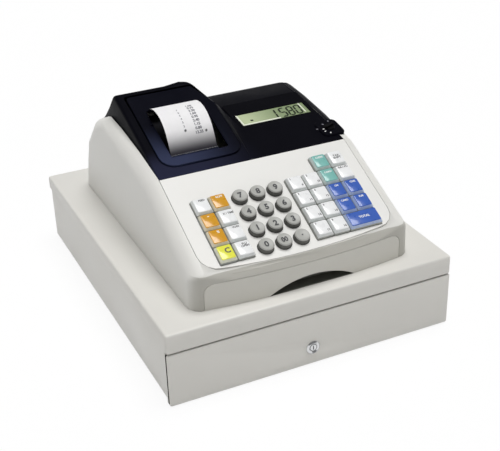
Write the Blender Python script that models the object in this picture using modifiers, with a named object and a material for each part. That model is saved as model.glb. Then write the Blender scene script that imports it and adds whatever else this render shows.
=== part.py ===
"""A ticket register: a small electronic cash register that stands on its cash drawer.

Metres, +Z up, the operator's side towards -Y, and the origin under the middle of the cabinet.
"""

import math

import bmesh
import bpy
from mathutils import Matrix, Vector

# Cabinet: a folded sheet steel case with a lid that has a deep front lip
CABINET_WIDTH = 0.330
CABINET_DEPTH = 0.407
CABINET_TOP = 0.086
SHEET = 0.0012
LID_EDGE = 0.0030
LID_LIP = 0.0215
LID_SKIRT = 0.0160
LID_LIP_SWEEP = 0.0120
FOOT_HEIGHT = 0.0020
FOOT_RADIUS = 0.0080
FOOT_INSET = 0.0300
RAIL_WIDTH = 0.0080
RAIL_HEIGHT = 0.0500
SEAT = 0.0003
OVERRUN = 0.0100

# Drawer: a pan-shaped front, a steel tray on two rails and a moulded till insert
DRAWER_FRONT_DEPTH = 0.0080
DRAWER_FRONT_SHEET = 0.0015
DRAWER_FRONT_BOTTOM = 0.0010
DRAWER_FRONT_EDGE = 0.0020
DRAWER_GAP = 0.0015
TRAY_DEPTH = 0.3700
TRAY_FLOOR_GAP = 0.0040
INSERT_DEPTH = 0.3560
INSERT_HEIGHT = 0.0400
INSERT_WALL = 0.0020
INSERT_FRONT_GAP = 0.0060
BILL_BINS = 4
COIN_ROWS = 2
COIN_COLUMNS = 4
COIN_LENGTH = 0.0820
COIN_SCOOP = 0.0140
CLIP_WIDTH = 0.0300
CLIP_SHEET = 0.0012
CLIP_LENGTH = 0.0900
CLIP_DROP_ANGLE = math.radians(17.0)
CLIP_BARREL = 0.0024
CLIP_SHAFT = 0.0015
CLIP_BACK_GAP = 0.0045

# Drawer lock
LOCK_X = -0.0038
LOCK_HEIGHT = 0.0217
LOCK_RADIUS = 0.0078
LOCK_PROUD = 0.0020
LOCK_BARREL = 0.0060
LOCK_LENGTH = 0.0130
PLUG_RADIUS = 0.0040
KEYWAY_WIDTH = 0.0010
KEYWAY_HEIGHT = 0.0050
KEYWAY_DEPTH = 0.0040

# Register body: its side outline and its moulded wall
BODY_X = 0.0010
BODY_SETBACK = 0.0237
BODY_BOW = 0.0075
BODY_WALL = 0.0030
SIDE_DRAFT = 0.0030
SHOULDER = 0.0160
FRONT_HEIGHT = 0.0389
FRONT_EDGE = 0.0060
KEYBOARD_TILT = math.radians(25.0)
KEYBOARD_SLOPE = 0.1290
DECK_MARGIN = 0.0100
DECK_RISE = 0.0185
DECK_CROWN_SHARES = ((0.40, 0.57), (0.75, 0.89), (1.0, 1.0))
BACK_DEPTH = 0.0820
BACK_SHARES = ((0.12, 0.030), (0.43, 0.130), (0.77, 0.400), (0.89, 0.655), (1.0, 1.0))

# Lower front of the body, with the finger recess at its foot
FASCIA_X = 0.0000
FASCIA_MARGIN = 0.0150
FASCIA_HEIGHT = 0.0285
FASCIA_CORNER = 0.0100
FASCIA_WALL = 0.0045
FASCIA_GAP = 0.0004
FLOOR_SHEET = 0.0030
RECESS_X = 0.0050
RECESS_HALF_WIDTH = 0.0490
RECESS_HEIGHT = 0.0135
RECESS_DEPTH = 0.0160

# Keyboard panel, keys and their guide board, measured on the slope
PANEL_MARGIN = 0.0175
PANEL_SLOPE = 0.1240
PANEL_BOW = 0.0060
PANEL_CORNER = 0.0200
PANEL_THICKNESS = 0.0016
PANEL_GAP = 0.0006
LEDGE = 0.0015
KEY_PITCH_X = 0.0196
KEY_PITCH_Y = 0.0210
KEY_GAP = 0.0010
KEY_RISE = 0.0066
KEY_SKIRT = 0.0040
KEY_SHOULDER = 0.0022
KEY_BEVEL = 0.0018
KEY_WALL = 0.0012
KEY_CORNER = 0.0012
STEM = 0.0056
STEM_LENGTH = 0.0130
BLOCK_MARGIN = 0.0006
FIRST_ROW = 0.0270
NUMBER_RADIUS = 0.0083
NUMBER_RING = 0.0008
NUMBER_DISH = 0.0005
NUMBER_PITCH_X = 0.0204
NUMBER_PITCH_Y = 0.0223
NUMBER_GAP = 0.0242
NUMBER_ROW = 0.0465
LEFT_BLOCK_MARGIN = 0.0279
RIGHT_BLOCK_GAP = 0.0245
RIGHT_BLOCK_MARGIN = 0.0252
GUIDE_DROP = 0.0092
GUIDE_THICKNESS = 0.0020
GUIDE_MARGIN = 0.0050
GUIDE_POST = 0.0030

# Dark deck cover with the printer housing
DECK_WALL = 0.0025
HOUSING_MARGIN = 0.0028
HOUSING_START = 0.0070
HOUSING_TILT = math.radians(19.5)
HOUSING_FLANK = 0.0008
HOUSING_RIGHT_SPREAD = 0.0200
HOUSING_RIGHT_CUT = 0.0150
HOUSING_CUT_DEPTH = 0.0440
HOUSING_BACK_TILT = math.radians(46.0)
HOUSING_MARGIN_BACK = 0.0108
CREST_RISE = 0.0024
CREST_OFFSET = 0.0218
CREST_RUN = 0.0180
CREST_REACH = 0.0080
LEFT_SOFTNESS = 0.0045
RIGHT_SOFTNESS = 0.0070
RIDGE_SOFTNESS = 0.0080
DECK_BACK = 0.0320

# Printer cover with its window and hinge, measured in its own sloping plane
COVER_MARGIN = 0.0294
COVER_HALF_WIDTH = 0.0468
COVER_START = 0.0151
COVER_LENGTH = 0.1200
COVER_CUT = 0.0150
COVER_CUT_LENGTH = 0.0340
COVER_SWING = 0.0035
COVER_THICKNESS = 0.0030
COVER_PROUD = 0.0015
COVER_CORNER = 0.0160
COVER_GROOVE = 0.0016
BAY_LEDGE = 0.0030
BAY_LEDGE_SHEET = 0.0014
BAY_LEDGE_END = 0.0125
WINDOW_HALF_WIDTH = 0.0332
WINDOW_START = 0.0120
WINDOW_LENGTH = 0.0805
WINDOW_CORNER = 0.0030
HINGE_BARREL = 0.0022
HINGE_DROP = 0.0055
HINGE_OVERHANG = 0.0030
HINGE_PIN = 0.0012
HINGE_EAR = 0.0030
WINDOW_LUG_RADIUS = 0.0016
WINDOW_LUG_RISE = 0.0012
WINDOW_LUG_START = 0.0564
TEAR_LEDGE_GRIP = 0.0030
TEAR_LEDGE_REACH = 0.0048
TEAR_LEDGE_SHEET = 0.0012
TEAR_BAR_LENGTH = 0.0560
TEAR_BAR_DROP = 0.0016
TEAR_BAR_SHEET = 0.0008
TEAR_TOOTH = 0.0008
TEAR_TEETH = 28

# Printer, paper roll and ticket
TICKET_OFFSET = 0.0050
TICKET_WIDTH = 0.0540
TICKET_SHEET = 0.0004
TICKET_EXIT_Y = 0.0308
TICKET_EXIT_DROP = 0.0060
TICKET_RADIUS = 0.1530
TICKET_LEAN = math.radians(22.4)
TICKET_SWEEP = math.radians(10.0)
TICKET_CURL_RADIUS = 0.0385
TICKET_CURL = math.radians(92.0)
TICKET_TAIL = 0.0220
ROLLER_RADIUS = 0.0070
ROLLER_SHAFT = 0.0020
ROLLER_GAP = 0.0005
CHEEK_SHEET = 0.0020
CHEEK_GAP = 0.0015
CHEEK_MARGIN = 0.0080
HEAD_GAP = 0.0010
HEAD_DEPTH = 0.0090
HEAD_HEIGHT = 0.0100
ROLL_RADIUS = 0.0290
ROLL_Y = 0.1160
ROLL_Z = 0.1720
ROLL_SPINDLE = 0.0040
ROLL_CORE = 0.0065
CORE_PROUD = 0.0005
TIE_DEPTH = 0.0140

# Display and mode switch
LCD_HALF_WIDTH = 0.0435
LCD_START = 0.0660
LCD_LENGTH = 0.0250
LCD_THICKNESS = 0.0020
LCD_DROP = 0.0010
LENS_MARGIN = 0.0175
LENS_HALF_WIDTH = 0.0490
LENS_START = 0.0600
LENS_LENGTH = 0.0560
LENS_THICKNESS = 0.0022
LENS_DROP = 0.0008
LENS_CORNER = 0.0030
LENS_TILT = math.radians(8.6)
SWITCH_MARGIN = 0.0220
SWITCH_Y = 0.0254
SWITCH_HALF_WIDTH = 0.0138
SWITCH_HALF_DEPTH = 0.0158
SWITCH_CORNER = 0.0070
SWITCH_EDGE = 0.0010
SWITCH_PROUD = 0.0018
SWITCH_SKIRT = 0.0085
MODE_KEY_RADIUS = 0.0062
MODE_KEY_PROUD = 0.0010
MODE_KEY_GRIP_LENGTH = 0.0130
MODE_KEY_GRIP_WIDTH = 0.0026
MODE_KEY_GRIP_HEIGHT = 0.0026
MODE_KEY_REST = math.radians(24.0)
MODE_KEY_REACH = 0.0130

# Facets of round forms
ARC_STEPS = 4
ROUND_STEPS = 24
KEY_STEPS = 16
GUIDE_STEPS = 10
BODY_STEPS = 8
BEVEL_STEPS = 2
MERGE = 0.00001

# Places that follow from the sizes above
BOX_DEPTH = CABINET_DEPTH + LOCK_PROUD
FRONT_Y = LOCK_PROUD - BOX_DEPTH / 2
BACK_Y = BOX_DEPTH / 2
SHELL_FRONT = FRONT_Y + DRAWER_FRONT_DEPTH + DRAWER_GAP
BODY_FRONT = FRONT_Y + BODY_SETBACK
BODY_FOOT = CABINET_TOP + SEAT
KEYBOARD_TOP_Y = BODY_FRONT + KEYBOARD_SLOPE * math.cos(KEYBOARD_TILT)
KEYBOARD_TOP_Z = BODY_FOOT + FRONT_HEIGHT + KEYBOARD_SLOPE * math.sin(KEYBOARD_TILT)
HOUSING_BACK = COVER_START + COVER_LENGTH * math.cos(HOUSING_TILT) + HOUSING_MARGIN_BACK
DECK_DEPTH = HOUSING_BACK + DECK_MARGIN
RIDGE_Y = KEYBOARD_TOP_Y + DECK_DEPTH
RIDGE_Z = KEYBOARD_TOP_Z + DECK_RISE
BODY_HEIGHT = RIDGE_Z - BODY_FOOT
LEFT_COLUMNS = 2
RIGHT_COLUMNS = 4
NUMBER_COLUMNS = 3
LEFT_RUN = LEFT_BLOCK_MARGIN + (LEFT_COLUMNS - 1) * KEY_PITCH_X + NUMBER_GAP
NUMBER_RUN = (NUMBER_COLUMNS - 1) * NUMBER_PITCH_X
RIGHT_RUN = RIGHT_BLOCK_GAP + (RIGHT_COLUMNS - 1) * KEY_PITCH_X + RIGHT_BLOCK_MARGIN
PANEL_HALF_WIDTH = (LEFT_RUN + NUMBER_RUN + RIGHT_RUN) / 2
BODY_HALF_WIDTH = PANEL_HALF_WIDTH + PANEL_MARGIN
FASCIA_HALF_WIDTH = BODY_HALF_WIDTH - FASCIA_MARGIN
BODY_LEFT = BODY_X - BODY_HALF_WIDTH
BODY_RIGHT = BODY_X + BODY_HALF_WIDTH
LEFT_BLOCK_X = BODY_X - PANEL_HALF_WIDTH + LEFT_BLOCK_MARGIN
NUMBER_X = BODY_X - PANEL_HALF_WIDTH + LEFT_RUN + NUMBER_RUN / 2
RIGHT_BLOCK_X = BODY_X - PANEL_HALF_WIDTH + LEFT_RUN + NUMBER_RUN + RIGHT_BLOCK_GAP
COVER_X = BODY_LEFT + COVER_MARGIN + COVER_HALF_WIDTH
HOUSING_RIGHT = COVER_X + COVER_HALF_WIDTH + HOUSING_MARGIN
CREST_X = COVER_X + CREST_OFFSET
CREST_LEFT = CREST_X - CREST_RUN
TICKET_X = COVER_X - TICKET_OFFSET
LENS_X = BODY_RIGHT - LENS_MARGIN - LENS_HALF_WIDTH
LCD_X = LENS_X
SWITCH_X = BODY_RIGHT - SWITCH_MARGIN
SLOPE_START = Matrix.Translation((BODY_X, KEYBOARD_TOP_Y, KEYBOARD_TOP_Z))
SLOPE = SLOPE_START @ Matrix.Rotation(KEYBOARD_TILT, 4, "X")

# Colours as linear red, green and blue
OFF_WHITE = (0.78, 0.78, 0.75)
NAVY = (0.012, 0.014, 0.032)
STEEL = (0.60, 0.60, 0.58)
KEY_WHITE = (0.86, 0.88, 0.88)
KEY_GREY = (0.50, 0.50, 0.48)
KEY_ORANGE = (0.68, 0.26, 0.01)
KEY_YELLOW = (0.86, 0.86, 0.10)
KEY_TEAL = (0.20, 0.54, 0.46)
KEY_BLUE = (0.045, 0.12, 0.50)
LCD_GREEN = (0.39, 0.50, 0.26)
PAPER_WHITE = (0.88, 0.88, 0.88)
RUBBER_BLACK = (0.02, 0.02, 0.02)

PARTS = bpy.data.collections.new("ticket_register")
CUTTERS = bpy.data.collections.new("cutters")


def clear_scene():
    """Remove what the scene holds and link the two collections."""
    for item in list(bpy.data.objects):
        bpy.data.objects.remove(item, do_unlink=True)
    for group in (PARTS, CUTTERS):
        bpy.context.scene.collection.children.link(group)


def finish(item, colour, roughness, metallic=0.0):
    """Give a piece its own material and put it among the parts."""
    material = bpy.data.materials.new(item.name)
    material.use_nodes = True
    shader = material.node_tree.nodes["Principled BSDF"]
    shader.inputs["Base Color"].default_value = (*colour, 1.0)
    shader.inputs["Roughness"].default_value = roughness
    shader.inputs["Metallic"].default_value = metallic
    item.data.materials.clear()
    item.data.materials.append(material)
    PARTS.objects.link(item)
    return item


def hidden(item):
    """Put a form that only cuts or joins among the cutters."""
    item.hide_render = True
    item.display_type = "WIRE"
    CUTTERS.objects.link(item)
    return item


def from_bmesh(name, bm):
    """An object from a bmesh, which is freed."""
    mesh = bpy.data.meshes.new(name)
    bm.to_mesh(mesh)
    bm.free()
    return bpy.data.objects.new(name, mesh)


def add_box(bm, low, high):
    """Add a box between two corners."""
    low, high = Vector(low), Vector(high)
    size = high - low
    place = Matrix.Translation((low + high) / 2) @ Matrix.Diagonal((*size, 1.0))
    return bmesh.ops.create_cube(bm, size=1.0, matrix=place)["verts"]


def box(name, low, high):
    """One box between two corners."""
    bm = bmesh.new()
    add_box(bm, low, high)
    return from_bmesh(name, bm)


def rod(name, start, end, radius, steps=ROUND_STEPS):
    """A round bar between two points."""
    start, end = Vector(start), Vector(end)
    axis = end - start
    turn = Vector((0, 0, 1)).rotation_difference(axis).to_matrix().to_4x4()
    bm = bmesh.new()
    bmesh.ops.create_cone(bm, cap_ends=True, segments=steps, radius1=radius, radius2=radius,
                          depth=axis.length, matrix=Matrix.Translation((start + end) / 2) @ turn)
    item = from_bmesh(name, bm)
    smooth(item)
    return item


def smooth(item):
    """Shade a round piece smooth and keep its edges sharp."""
    item.data.shade_smooth()
    item.data.set_sharp_from_angle(angle=math.radians(35.0))


def turned(name, profile, steps=ROUND_STEPS):
    """A profile of (radius, height) points turned about Z, from the axis round to the axis."""
    bm = bmesh.new()
    corners = [bm.verts.new((radius, 0, height)) for radius, height in profile]
    for first, second in zip(corners, corners[1:]):
        bm.edges.new((first, second))
    item = from_bmesh(name, bm)
    screw = item.modifiers.new("turn", "SCREW")
    screw.axis = "Z"
    screw.steps = steps
    screw.render_steps = steps
    screw.use_merge_vertices = True
    screw.merge_threshold = MERGE
    screw.use_smooth_shade = True
    return item


def fillet(before, corner, after, radius, steps=ARC_STEPS):
    """Points of an arc of a given radius between two straight runs, in the plane."""
    corner = Vector(corner)
    back = (Vector(before) - corner).normalized()
    ahead = (Vector(after) - corner).normalized()
    half = back.angle(ahead) / 2
    reach = radius / math.tan(half)
    centre = corner + (back + ahead).normalized() * (radius / math.sin(half))
    start = corner + back * reach - centre
    sweep = start.angle_signed(corner + ahead * reach - centre)
    turns = [Matrix.Rotation(-sweep * step / steps, 2) for step in range(steps + 1)]
    return [tuple(centre + turn @ start) for turn in turns]


def rounded(corners, radii, steps=ARC_STEPS):
    """A closed outline with a fillet at each corner."""
    points = []
    count = len(corners)
    for index, corner in enumerate(corners):
        before = corners[index - 1]
        after = corners[(index + 1) % count]
        points += fillet(before, corner, after, radii[index], steps)
    return points


def rectangle(low_x, low_y, high_x, high_y, radius, steps=ARC_STEPS):
    """A rectangle with round corners."""
    corners = [(low_x, low_y), (high_x, low_y), (high_x, high_y), (low_x, high_y)]
    return rounded(corners, [radius] * len(corners), steps)


def circle(x, y, radius, steps=KEY_STEPS):
    """A circle as an outline."""
    angles = [2 * math.pi * step / steps for step in range(steps)]
    return [(x + radius * math.cos(angle), y + radius * math.sin(angle)) for angle in angles]


def plate(name, outlines, low, high):
    """A flat piece with holes: an outline and its holes, filled between two heights."""
    curve = bpy.data.curves.new(name, "CURVE")
    curve.dimensions = "2D"
    curve.fill_mode = "BOTH"
    curve.extrude = (high - low) / 2
    for outline in outlines:
        spline = curve.splines.new("POLY")
        spline.points.add(len(outline) - 1)
        spline.use_cyclic_u = True
        for point, (x, y) in zip(spline.points, outline):
            point.co = (x, y, 0, 1)
    flat = bpy.data.objects.new(name + "_curve", curve)
    bpy.context.scene.collection.objects.link(flat)
    evaluated = flat.evaluated_get(bpy.context.evaluated_depsgraph_get())
    mesh = bpy.data.meshes.new_from_object(evaluated)
    bpy.data.objects.remove(flat, do_unlink=True)
    bm = bmesh.new()
    bm.from_mesh(mesh)
    bpy.data.meshes.remove(mesh)
    bmesh.ops.remove_doubles(bm, verts=bm.verts, dist=MERGE)
    bmesh.ops.translate(bm, verts=bm.verts, vec=(0, 0, (low + high) / 2))
    bmesh.ops.recalc_face_normals(bm, faces=bm.faces)
    return from_bmesh(name, bm)


def side_plate(name, outlines, low_x, high_x):
    """A flat piece drawn in the (y, z) plane and standing across X."""
    item = plate(name, outlines, low_x, high_x)
    turn = Matrix(((0, 0, 1, 0), (1, 0, 0, 0), (0, 1, 0, 0), (0, 0, 0, 1)))
    item.data.transform(turn)
    return item


def combine(target, other, operation):
    """Cut a piece by another form, or join that form to it."""
    step = target.modifiers.new(other.name, "BOOLEAN")
    step.operation = operation
    step.object = hidden(other)
    step.solver = "EXACT"
    return target


def cut(target, other):
    return combine(target, other, "DIFFERENCE")


def join(target, other):
    return combine(target, other, "UNION")


def shell(item, thickness):
    """Give an open surface its wall, inward from the faces."""
    wall = item.modifiers.new("wall", "SOLIDIFY")
    wall.thickness = thickness
    wall.offset = -1.0
    wall.use_even_offset = True
    return item


def soften(item, width, steps=BEVEL_STEPS, degrees=50.0):
    """Round a piece's edges."""
    bevel = item.modifiers.new("edges", "BEVEL")
    bevel.width = width
    bevel.segments = steps
    bevel.limit_method = "ANGLE"
    bevel.angle_limit = math.radians(degrees)
    return item


def pan(name, low, high, open_axis, open_high, thickness, edge=0.0):
    """A folded sheet box that is open on one side."""
    bm = bmesh.new()
    add_box(bm, low, high)
    sign = 1.0 if open_high else -1.0
    mouth = [face for face in bm.faces if face.normal[open_axis] * sign > 0.5]
    bmesh.ops.delete(bm, geom=mouth, context="FACES_ONLY")
    item = from_bmesh(name, bm)
    if edge:
        soften(item, edge)
    return shell(item, thickness)


def grid_faces(bm, rows):
    """Join rows of vertices, all of one length, by quads."""
    for lower, upper in zip(rows, rows[1:]):
        for index in range(len(lower) - 1):
            bm.faces.new((lower[index], lower[index + 1], upper[index + 1], upper[index]))


def ring_loft(name, rings):
    """A closed body through rings of points, with its first and last ring filled."""
    bm = bmesh.new()
    rows = [[bm.verts.new(point) for point in ring] for ring in rings]
    for lower, upper in zip(rows, rows[1:]):
        for index, vertex in enumerate(lower):
            following = (index + 1) % len(lower)
            bm.faces.new((vertex, lower[following], upper[following], upper[index]))
    bm.faces.new(reversed(rows[0]))
    bm.faces.new(rows[-1])
    bmesh.ops.recalc_face_normals(bm, faces=bm.faces)
    return from_bmesh(name, bm)


def interpolate(points, place):
    """Height at a place along a line of (place, height) points."""
    for (start, low), (end, high) in zip(points, points[1:]):
        if place <= end:
            break
    return low + (high - low) * (place - start) / (end - start)


# Register body


def body_corners(bow=0.0):
    """Sharp corners of the body's side outline, front foot to back foot, as (y, z)."""
    front = BODY_FRONT - bow
    front_top = BODY_FOOT + FRONT_HEIGHT - bow * math.tan(KEYBOARD_TILT)
    corners = [(front, BODY_FOOT), (front, front_top), (KEYBOARD_TOP_Y, KEYBOARD_TOP_Z)]
    corners += [(KEYBOARD_TOP_Y + DECK_DEPTH * along, KEYBOARD_TOP_Z + DECK_RISE * up)
                for along, up in DECK_CROWN_SHARES]
    corners += [(RIDGE_Y + BACK_DEPTH * along, RIDGE_Z - BODY_HEIGHT * down)
                for along, down in BACK_SHARES]
    return corners


def inset_corners(corners, distance):
    """The same outline moved inward all round, with its feet kept at their height."""
    runs = [(Vector(end) - Vector(start)).normalized() for start, end in zip(corners, corners[1:])]
    moved = []
    for index, corner in enumerate(corners):
        before = runs[max(index - 1, 0)]
        after = runs[min(index, len(runs) - 1)]
        inward = Vector((before.y + after.y, -before.x - after.x)).normalized()
        square = Vector((before.y, -before.x))
        moved.append(Vector(corner) + inward * (distance / inward.dot(square)))
    for foot in (0, -1):
        moved[foot].y = corners[foot][1]
    return [tuple(point) for point in moved]


def inset_loop(loop, distance):
    """A closed outline moved inward all round, or outward by a distance below zero."""
    corners = [Vector(corner) for corner in loop]
    points = []
    for index, corner in enumerate(corners):
        before = (corner - corners[index - 1]).normalized()
        after = (corners[(index + 1) % len(corners)] - corner).normalized()
        inward = Vector((-before.y - after.y, before.x + after.x)).normalized()
        square = Vector((-before.y, before.x))
        points.append(tuple(corner + inward * (distance / inward.dot(square))))
    return points


def round_front(corners, radius):
    """The outline with its front edge rounded."""
    return [corners[0]] + fillet(*corners[:3], radius) + corners[2:]


def half_width_at(height):
    """Half the body's width at a height, with the mould's draft."""
    return BODY_HALF_WIDTH - SIDE_DRAFT * (height - BODY_FOOT) / BODY_HEIGHT


def body_columns():
    """Outlines across the body as rows of (x, y, z), left side to right side."""
    outer = round_front(body_corners(), FRONT_EDGE)
    inner = round_front(inset_corners(body_corners(), SHOULDER), FRONT_EDGE / 3)
    shoulder = []
    for step in range(ARC_STEPS + 1):
        angle = math.pi / 2 * (1 - step / ARC_STEPS)
        column = []
        for edge, core in zip(outer, inner):
            blend = 1 - math.cos(angle)
            y = edge[0] + (core[0] - edge[0]) * blend
            z = edge[1] + (core[1] - edge[1]) * blend
            column.append((half_width_at(z) - SHOULDER * (1 - math.sin(angle)), y, z))
        shoulder.append(column)
    middle = []
    for step in range(1, BODY_STEPS):
        across = 2 * step / BODY_STEPS - 1
        bowed = round_front(body_corners(BODY_BOW * (1 - across ** 2)), FRONT_EDGE)
        middle.append([(across * (half_width_at(z) - SHOULDER), y, z) for y, z in bowed])
    left = [[(-x, y, z) for x, y, z in column] for column in shoulder]
    return left + middle + shoulder[::-1]


def body_surface(name, thickness):
    """The body's outer surface, open below, with its wall."""
    bm = bmesh.new()
    columns = [[bm.verts.new((BODY_X + x, y, z)) for x, y, z in column] for column in body_columns()]
    grid_faces(bm, columns[::-1])
    bm.faces.new(columns[0])
    bm.faces.new(reversed(columns[-1]))
    item = from_bmesh(name, bm)
    smooth(item)
    shell(item, thickness)
    reach = BODY_HALF_WIDTH + OVERRUN
    trim = box(name + "_trim", (BODY_X - reach, BODY_FRONT - BODY_BOW - OVERRUN, BODY_FOOT - OVERRUN),
               (BODY_X + reach, RIDGE_Y + BACK_DEPTH + OVERRUN, BODY_FOOT))
    return cut(item, trim)


def panel_bow_points(reach, slope, count=BODY_STEPS):
    """Front edge of the keyboard panel between its corners, bowed like the body."""
    points = []
    for step in range(count + 1):
        across = 2 * step / count - 1
        points.append((across * reach, -slope - PANEL_BOW * (1 - across ** 2)))
    return points


def panel_outline(grow):
    """The keyboard panel's outline on the slope, grown or shrunk all round."""
    half = PANEL_HALF_WIDTH + grow
    slope = PANEL_SLOPE + grow
    left = fillet((-half, 0), (-half, -slope), (half, -slope), PANEL_CORNER + grow)
    right = fillet((-half, -slope), (half, -slope), (half, 0), PANEL_CORNER + grow)
    bowed = panel_bow_points(PANEL_HALF_WIDTH - PANEL_CORNER, slope)[1:-1]
    return [(half, grow), (-half, grow)] + left + bowed + right


def fascia_outline(grow):
    """Outline of the lower front, seen from the front, down to the lid and below."""
    half = FASCIA_HALF_WIDTH + grow
    top = BODY_FOOT + FASCIA_HEIGHT + grow
    foot = BODY_FOOT - OVERRUN
    left, right = FASCIA_X - half, FASCIA_X + half
    corners = [(left, foot), (right, foot), (right, top), (left, top)]
    return rounded(corners, [FASCIA_CORNER / 4] * 2 + [FASCIA_CORNER + grow] * 2)


def front_prism(name, outline, depth_low, depth_high):
    """A form drawn in the (x, z) plane that reaches from one depth to another."""
    item = plate(name, [outline], depth_low, depth_high)
    turn = Matrix(((1, 0, 0, 0), (0, 0, 1, 0), (0, 1, 0, 0), (0, 0, 0, 1)))
    item.data.transform(turn)
    item.data.flip_normals()
    return item


def deck_pocket(name, half_width, drop, front, back):
    """A form that clears the deck's place, down to a depth below its surface."""
    top = [(y, z) for y, z in body_corners()[2:] if front < y < back]
    line = [(front, deck_height(front))] + top + [(back, deck_height(back))]
    ceiling = RIDGE_Z + OVERRUN
    outline = [(y, z - drop) for y, z in line] + [(back, ceiling), (front, ceiling)]
    return side_plate(name, [outline], BODY_X - half_width, BODY_X + half_width)


def deck_height(y):
    """Height of the body's top and back at a depth."""
    return interpolate(body_corners()[2:], y)


def upper_case():
    """White upper case: one moulded shell with places for the keyboard and the deck."""
    case = body_surface("upper_case", BODY_WALL)
    inner_back = RIDGE_Y + DECK_BACK
    pocket = plate("panel_pocket", [panel_outline(PANEL_GAP)], -PANEL_THICKNESS - SEAT, OVERRUN)
    window = plate("panel_window", [panel_outline(-LEDGE)], -OVERRUN, OVERRUN)
    for form in (pocket, window):
        form.matrix_world = SLOPE
        cut(case, form)
    cut(case, deck_pocket("deck_place", PANEL_HALF_WIDTH + SEAT, DECK_WALL * 4, KEYBOARD_TOP_Y + LEDGE,
                          inner_back + SEAT))
    cut(case, deck_pocket("deck_edge", PANEL_HALF_WIDTH + SEAT, DECK_WALL + SEAT, KEYBOARD_TOP_Y - SEAT,
                          inner_back))
    cut(case, front_prism("fascia_place", fascia_outline(FASCIA_GAP), BODY_FRONT - BODY_BOW - OVERRUN,
                          BODY_FRONT + SHOULDER))
    pad_place = plate("pad_place", [switch_outline(SEAT)], -SWITCH_SKIRT - SEAT, OVERRUN)
    pad_place.matrix_world = switch_frame()
    cut(case, pad_place)
    return finish(case, OFF_WHITE, 0.45)


def recess_outline(grow):
    """The finger recess: a flat arc that stands on the lid."""
    half = RECESS_HALF_WIDTH + grow
    height = RECESS_HEIGHT + grow
    radius = (half ** 2 + height ** 2) / (2 * height)
    spread = math.asin(half / radius)
    steps = 2 * BODY_STEPS
    points = []
    for step in range(steps + 1):
        angle = spread * (1 - 2 * step / steps)
        z = BODY_FOOT + height - radius * (1 - math.cos(angle))
        points.append((RECESS_X + radius * math.sin(angle), z))
    return points + [(RECESS_X - half, BODY_FOOT - OVERRUN), (RECESS_X + half, BODY_FOOT - OVERRUN)]


def floor_outline():
    """Plan of the body's floor, inset all round to lie just inside the upper case."""
    columns = body_columns()
    front = [Vector((BODY_X + column[0][0], column[0][1])) for column in columns]
    back = [Vector((BODY_X + column[-1][0], column[-1][1])) for column in columns]
    above, foot = body_corners()[-2:]
    lean = (foot[0] - above[0]) / (above[1] - foot[1])
    return inset_loop(front + back[::-1], BODY_WALL * math.hypot(1, lean) + FLOOR_SHEET * lean + SEAT)


def lower_case():
    """Lower case: a floor, and the lower front that rises from it with its finger recess."""
    case = body_surface("lower_case", FASCIA_WALL)
    combine(case, front_prism("fascia_form", fascia_outline(0.0), BODY_FRONT - BODY_BOW - OVERRUN,
                              BODY_FRONT + SHOULDER / 2), "INTERSECT")
    join(case, plate("floor_form", [floor_outline()], BODY_FOOT, BODY_FOOT + FLOOR_SHEET))
    front = BODY_FRONT - BODY_BOW
    back = front + RECESS_DEPTH
    join(case, front_prism("recess_wall", recess_outline(FLOOR_SHEET)[:-2], front + FLOOR_SHEET,
                           back + FLOOR_SHEET))
    cut(case, front_prism("recess_form", recess_outline(0.0), front - OVERRUN, back))
    return finish(case, OFF_WHITE, 0.45)


# Keyboard


def key_outline(half_x, half_y, radius):
    """A key's outline with small corners."""
    return rectangle(-half_x, -half_y, half_x, half_y, radius, 1)


def square_key(name, columns, x, row, colour):
    """A clear cap over a coloured label: a hollow skirt round a stem that slides in its guide."""
    half_x = (columns * KEY_PITCH_X - KEY_GAP) / 2
    half_y = (KEY_PITCH_Y - KEY_GAP) / 2
    shoulder_z = KEY_RISE - KEY_BEVEL * 2
    sections = [
        (KEY_WALL, -KEY_SKIRT),
        (0.0, -KEY_SKIRT),
        (0.0, shoulder_z),
        (KEY_BEVEL, KEY_RISE - KEY_BEVEL / 4),
        (KEY_BEVEL * 1.25, KEY_RISE),
    ]
    stem = [(STEM / 2, STEM / 2, -STEM_LENGTH), (STEM / 2, STEM / 2, KEY_RISE - KEY_SHOULDER)]
    ceiling = (half_x - KEY_WALL, half_y - KEY_WALL, KEY_RISE - KEY_SHOULDER - KEY_BEVEL)
    rings = [[(px, py, z) for px, py in key_outline(sx, sy, KEY_CORNER / 4)] for sx, sy, z in
             (stem[0], (STEM / 2, STEM / 2, ceiling[2]), ceiling)]
    for inset, z in sections:
        rings.append([(px, py, z) for px, py in key_outline(half_x - inset, half_y - inset, KEY_CORNER)])
    key = ring_loft(name, rings)
    key.matrix_world = SLOPE @ Matrix.Translation((x - BODY_X, -row, 0))
    return finish(key, colour, 0.22)


def number_key(name, x, row):
    """A round dished cap with its stem."""
    radius = NUMBER_RADIUS
    profile = [
        (0, KEY_RISE - NUMBER_DISH),
        (radius - KEY_BEVEL / 2, KEY_RISE),
        (radius, KEY_RISE - KEY_BEVEL / 2),
        (radius, -KEY_SKIRT),
        (radius - KEY_WALL, -KEY_SKIRT),
        (radius - KEY_WALL, KEY_RISE - KEY_SHOULDER),
        (STEM / 2, KEY_RISE - KEY_SHOULDER),
        (STEM / 2, -STEM_LENGTH),
        (0, -STEM_LENGTH),
    ]
    key = turned(name, profile, KEY_STEPS)
    key.matrix_world = SLOPE @ Matrix.Translation((x - BODY_X, -row, 0))
    return finish(key, KEY_GREY, 0.40)


def block_row(row):
    """Distance down the slope of a row of square keys."""
    return FIRST_ROW + row * KEY_PITCH_Y


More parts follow.
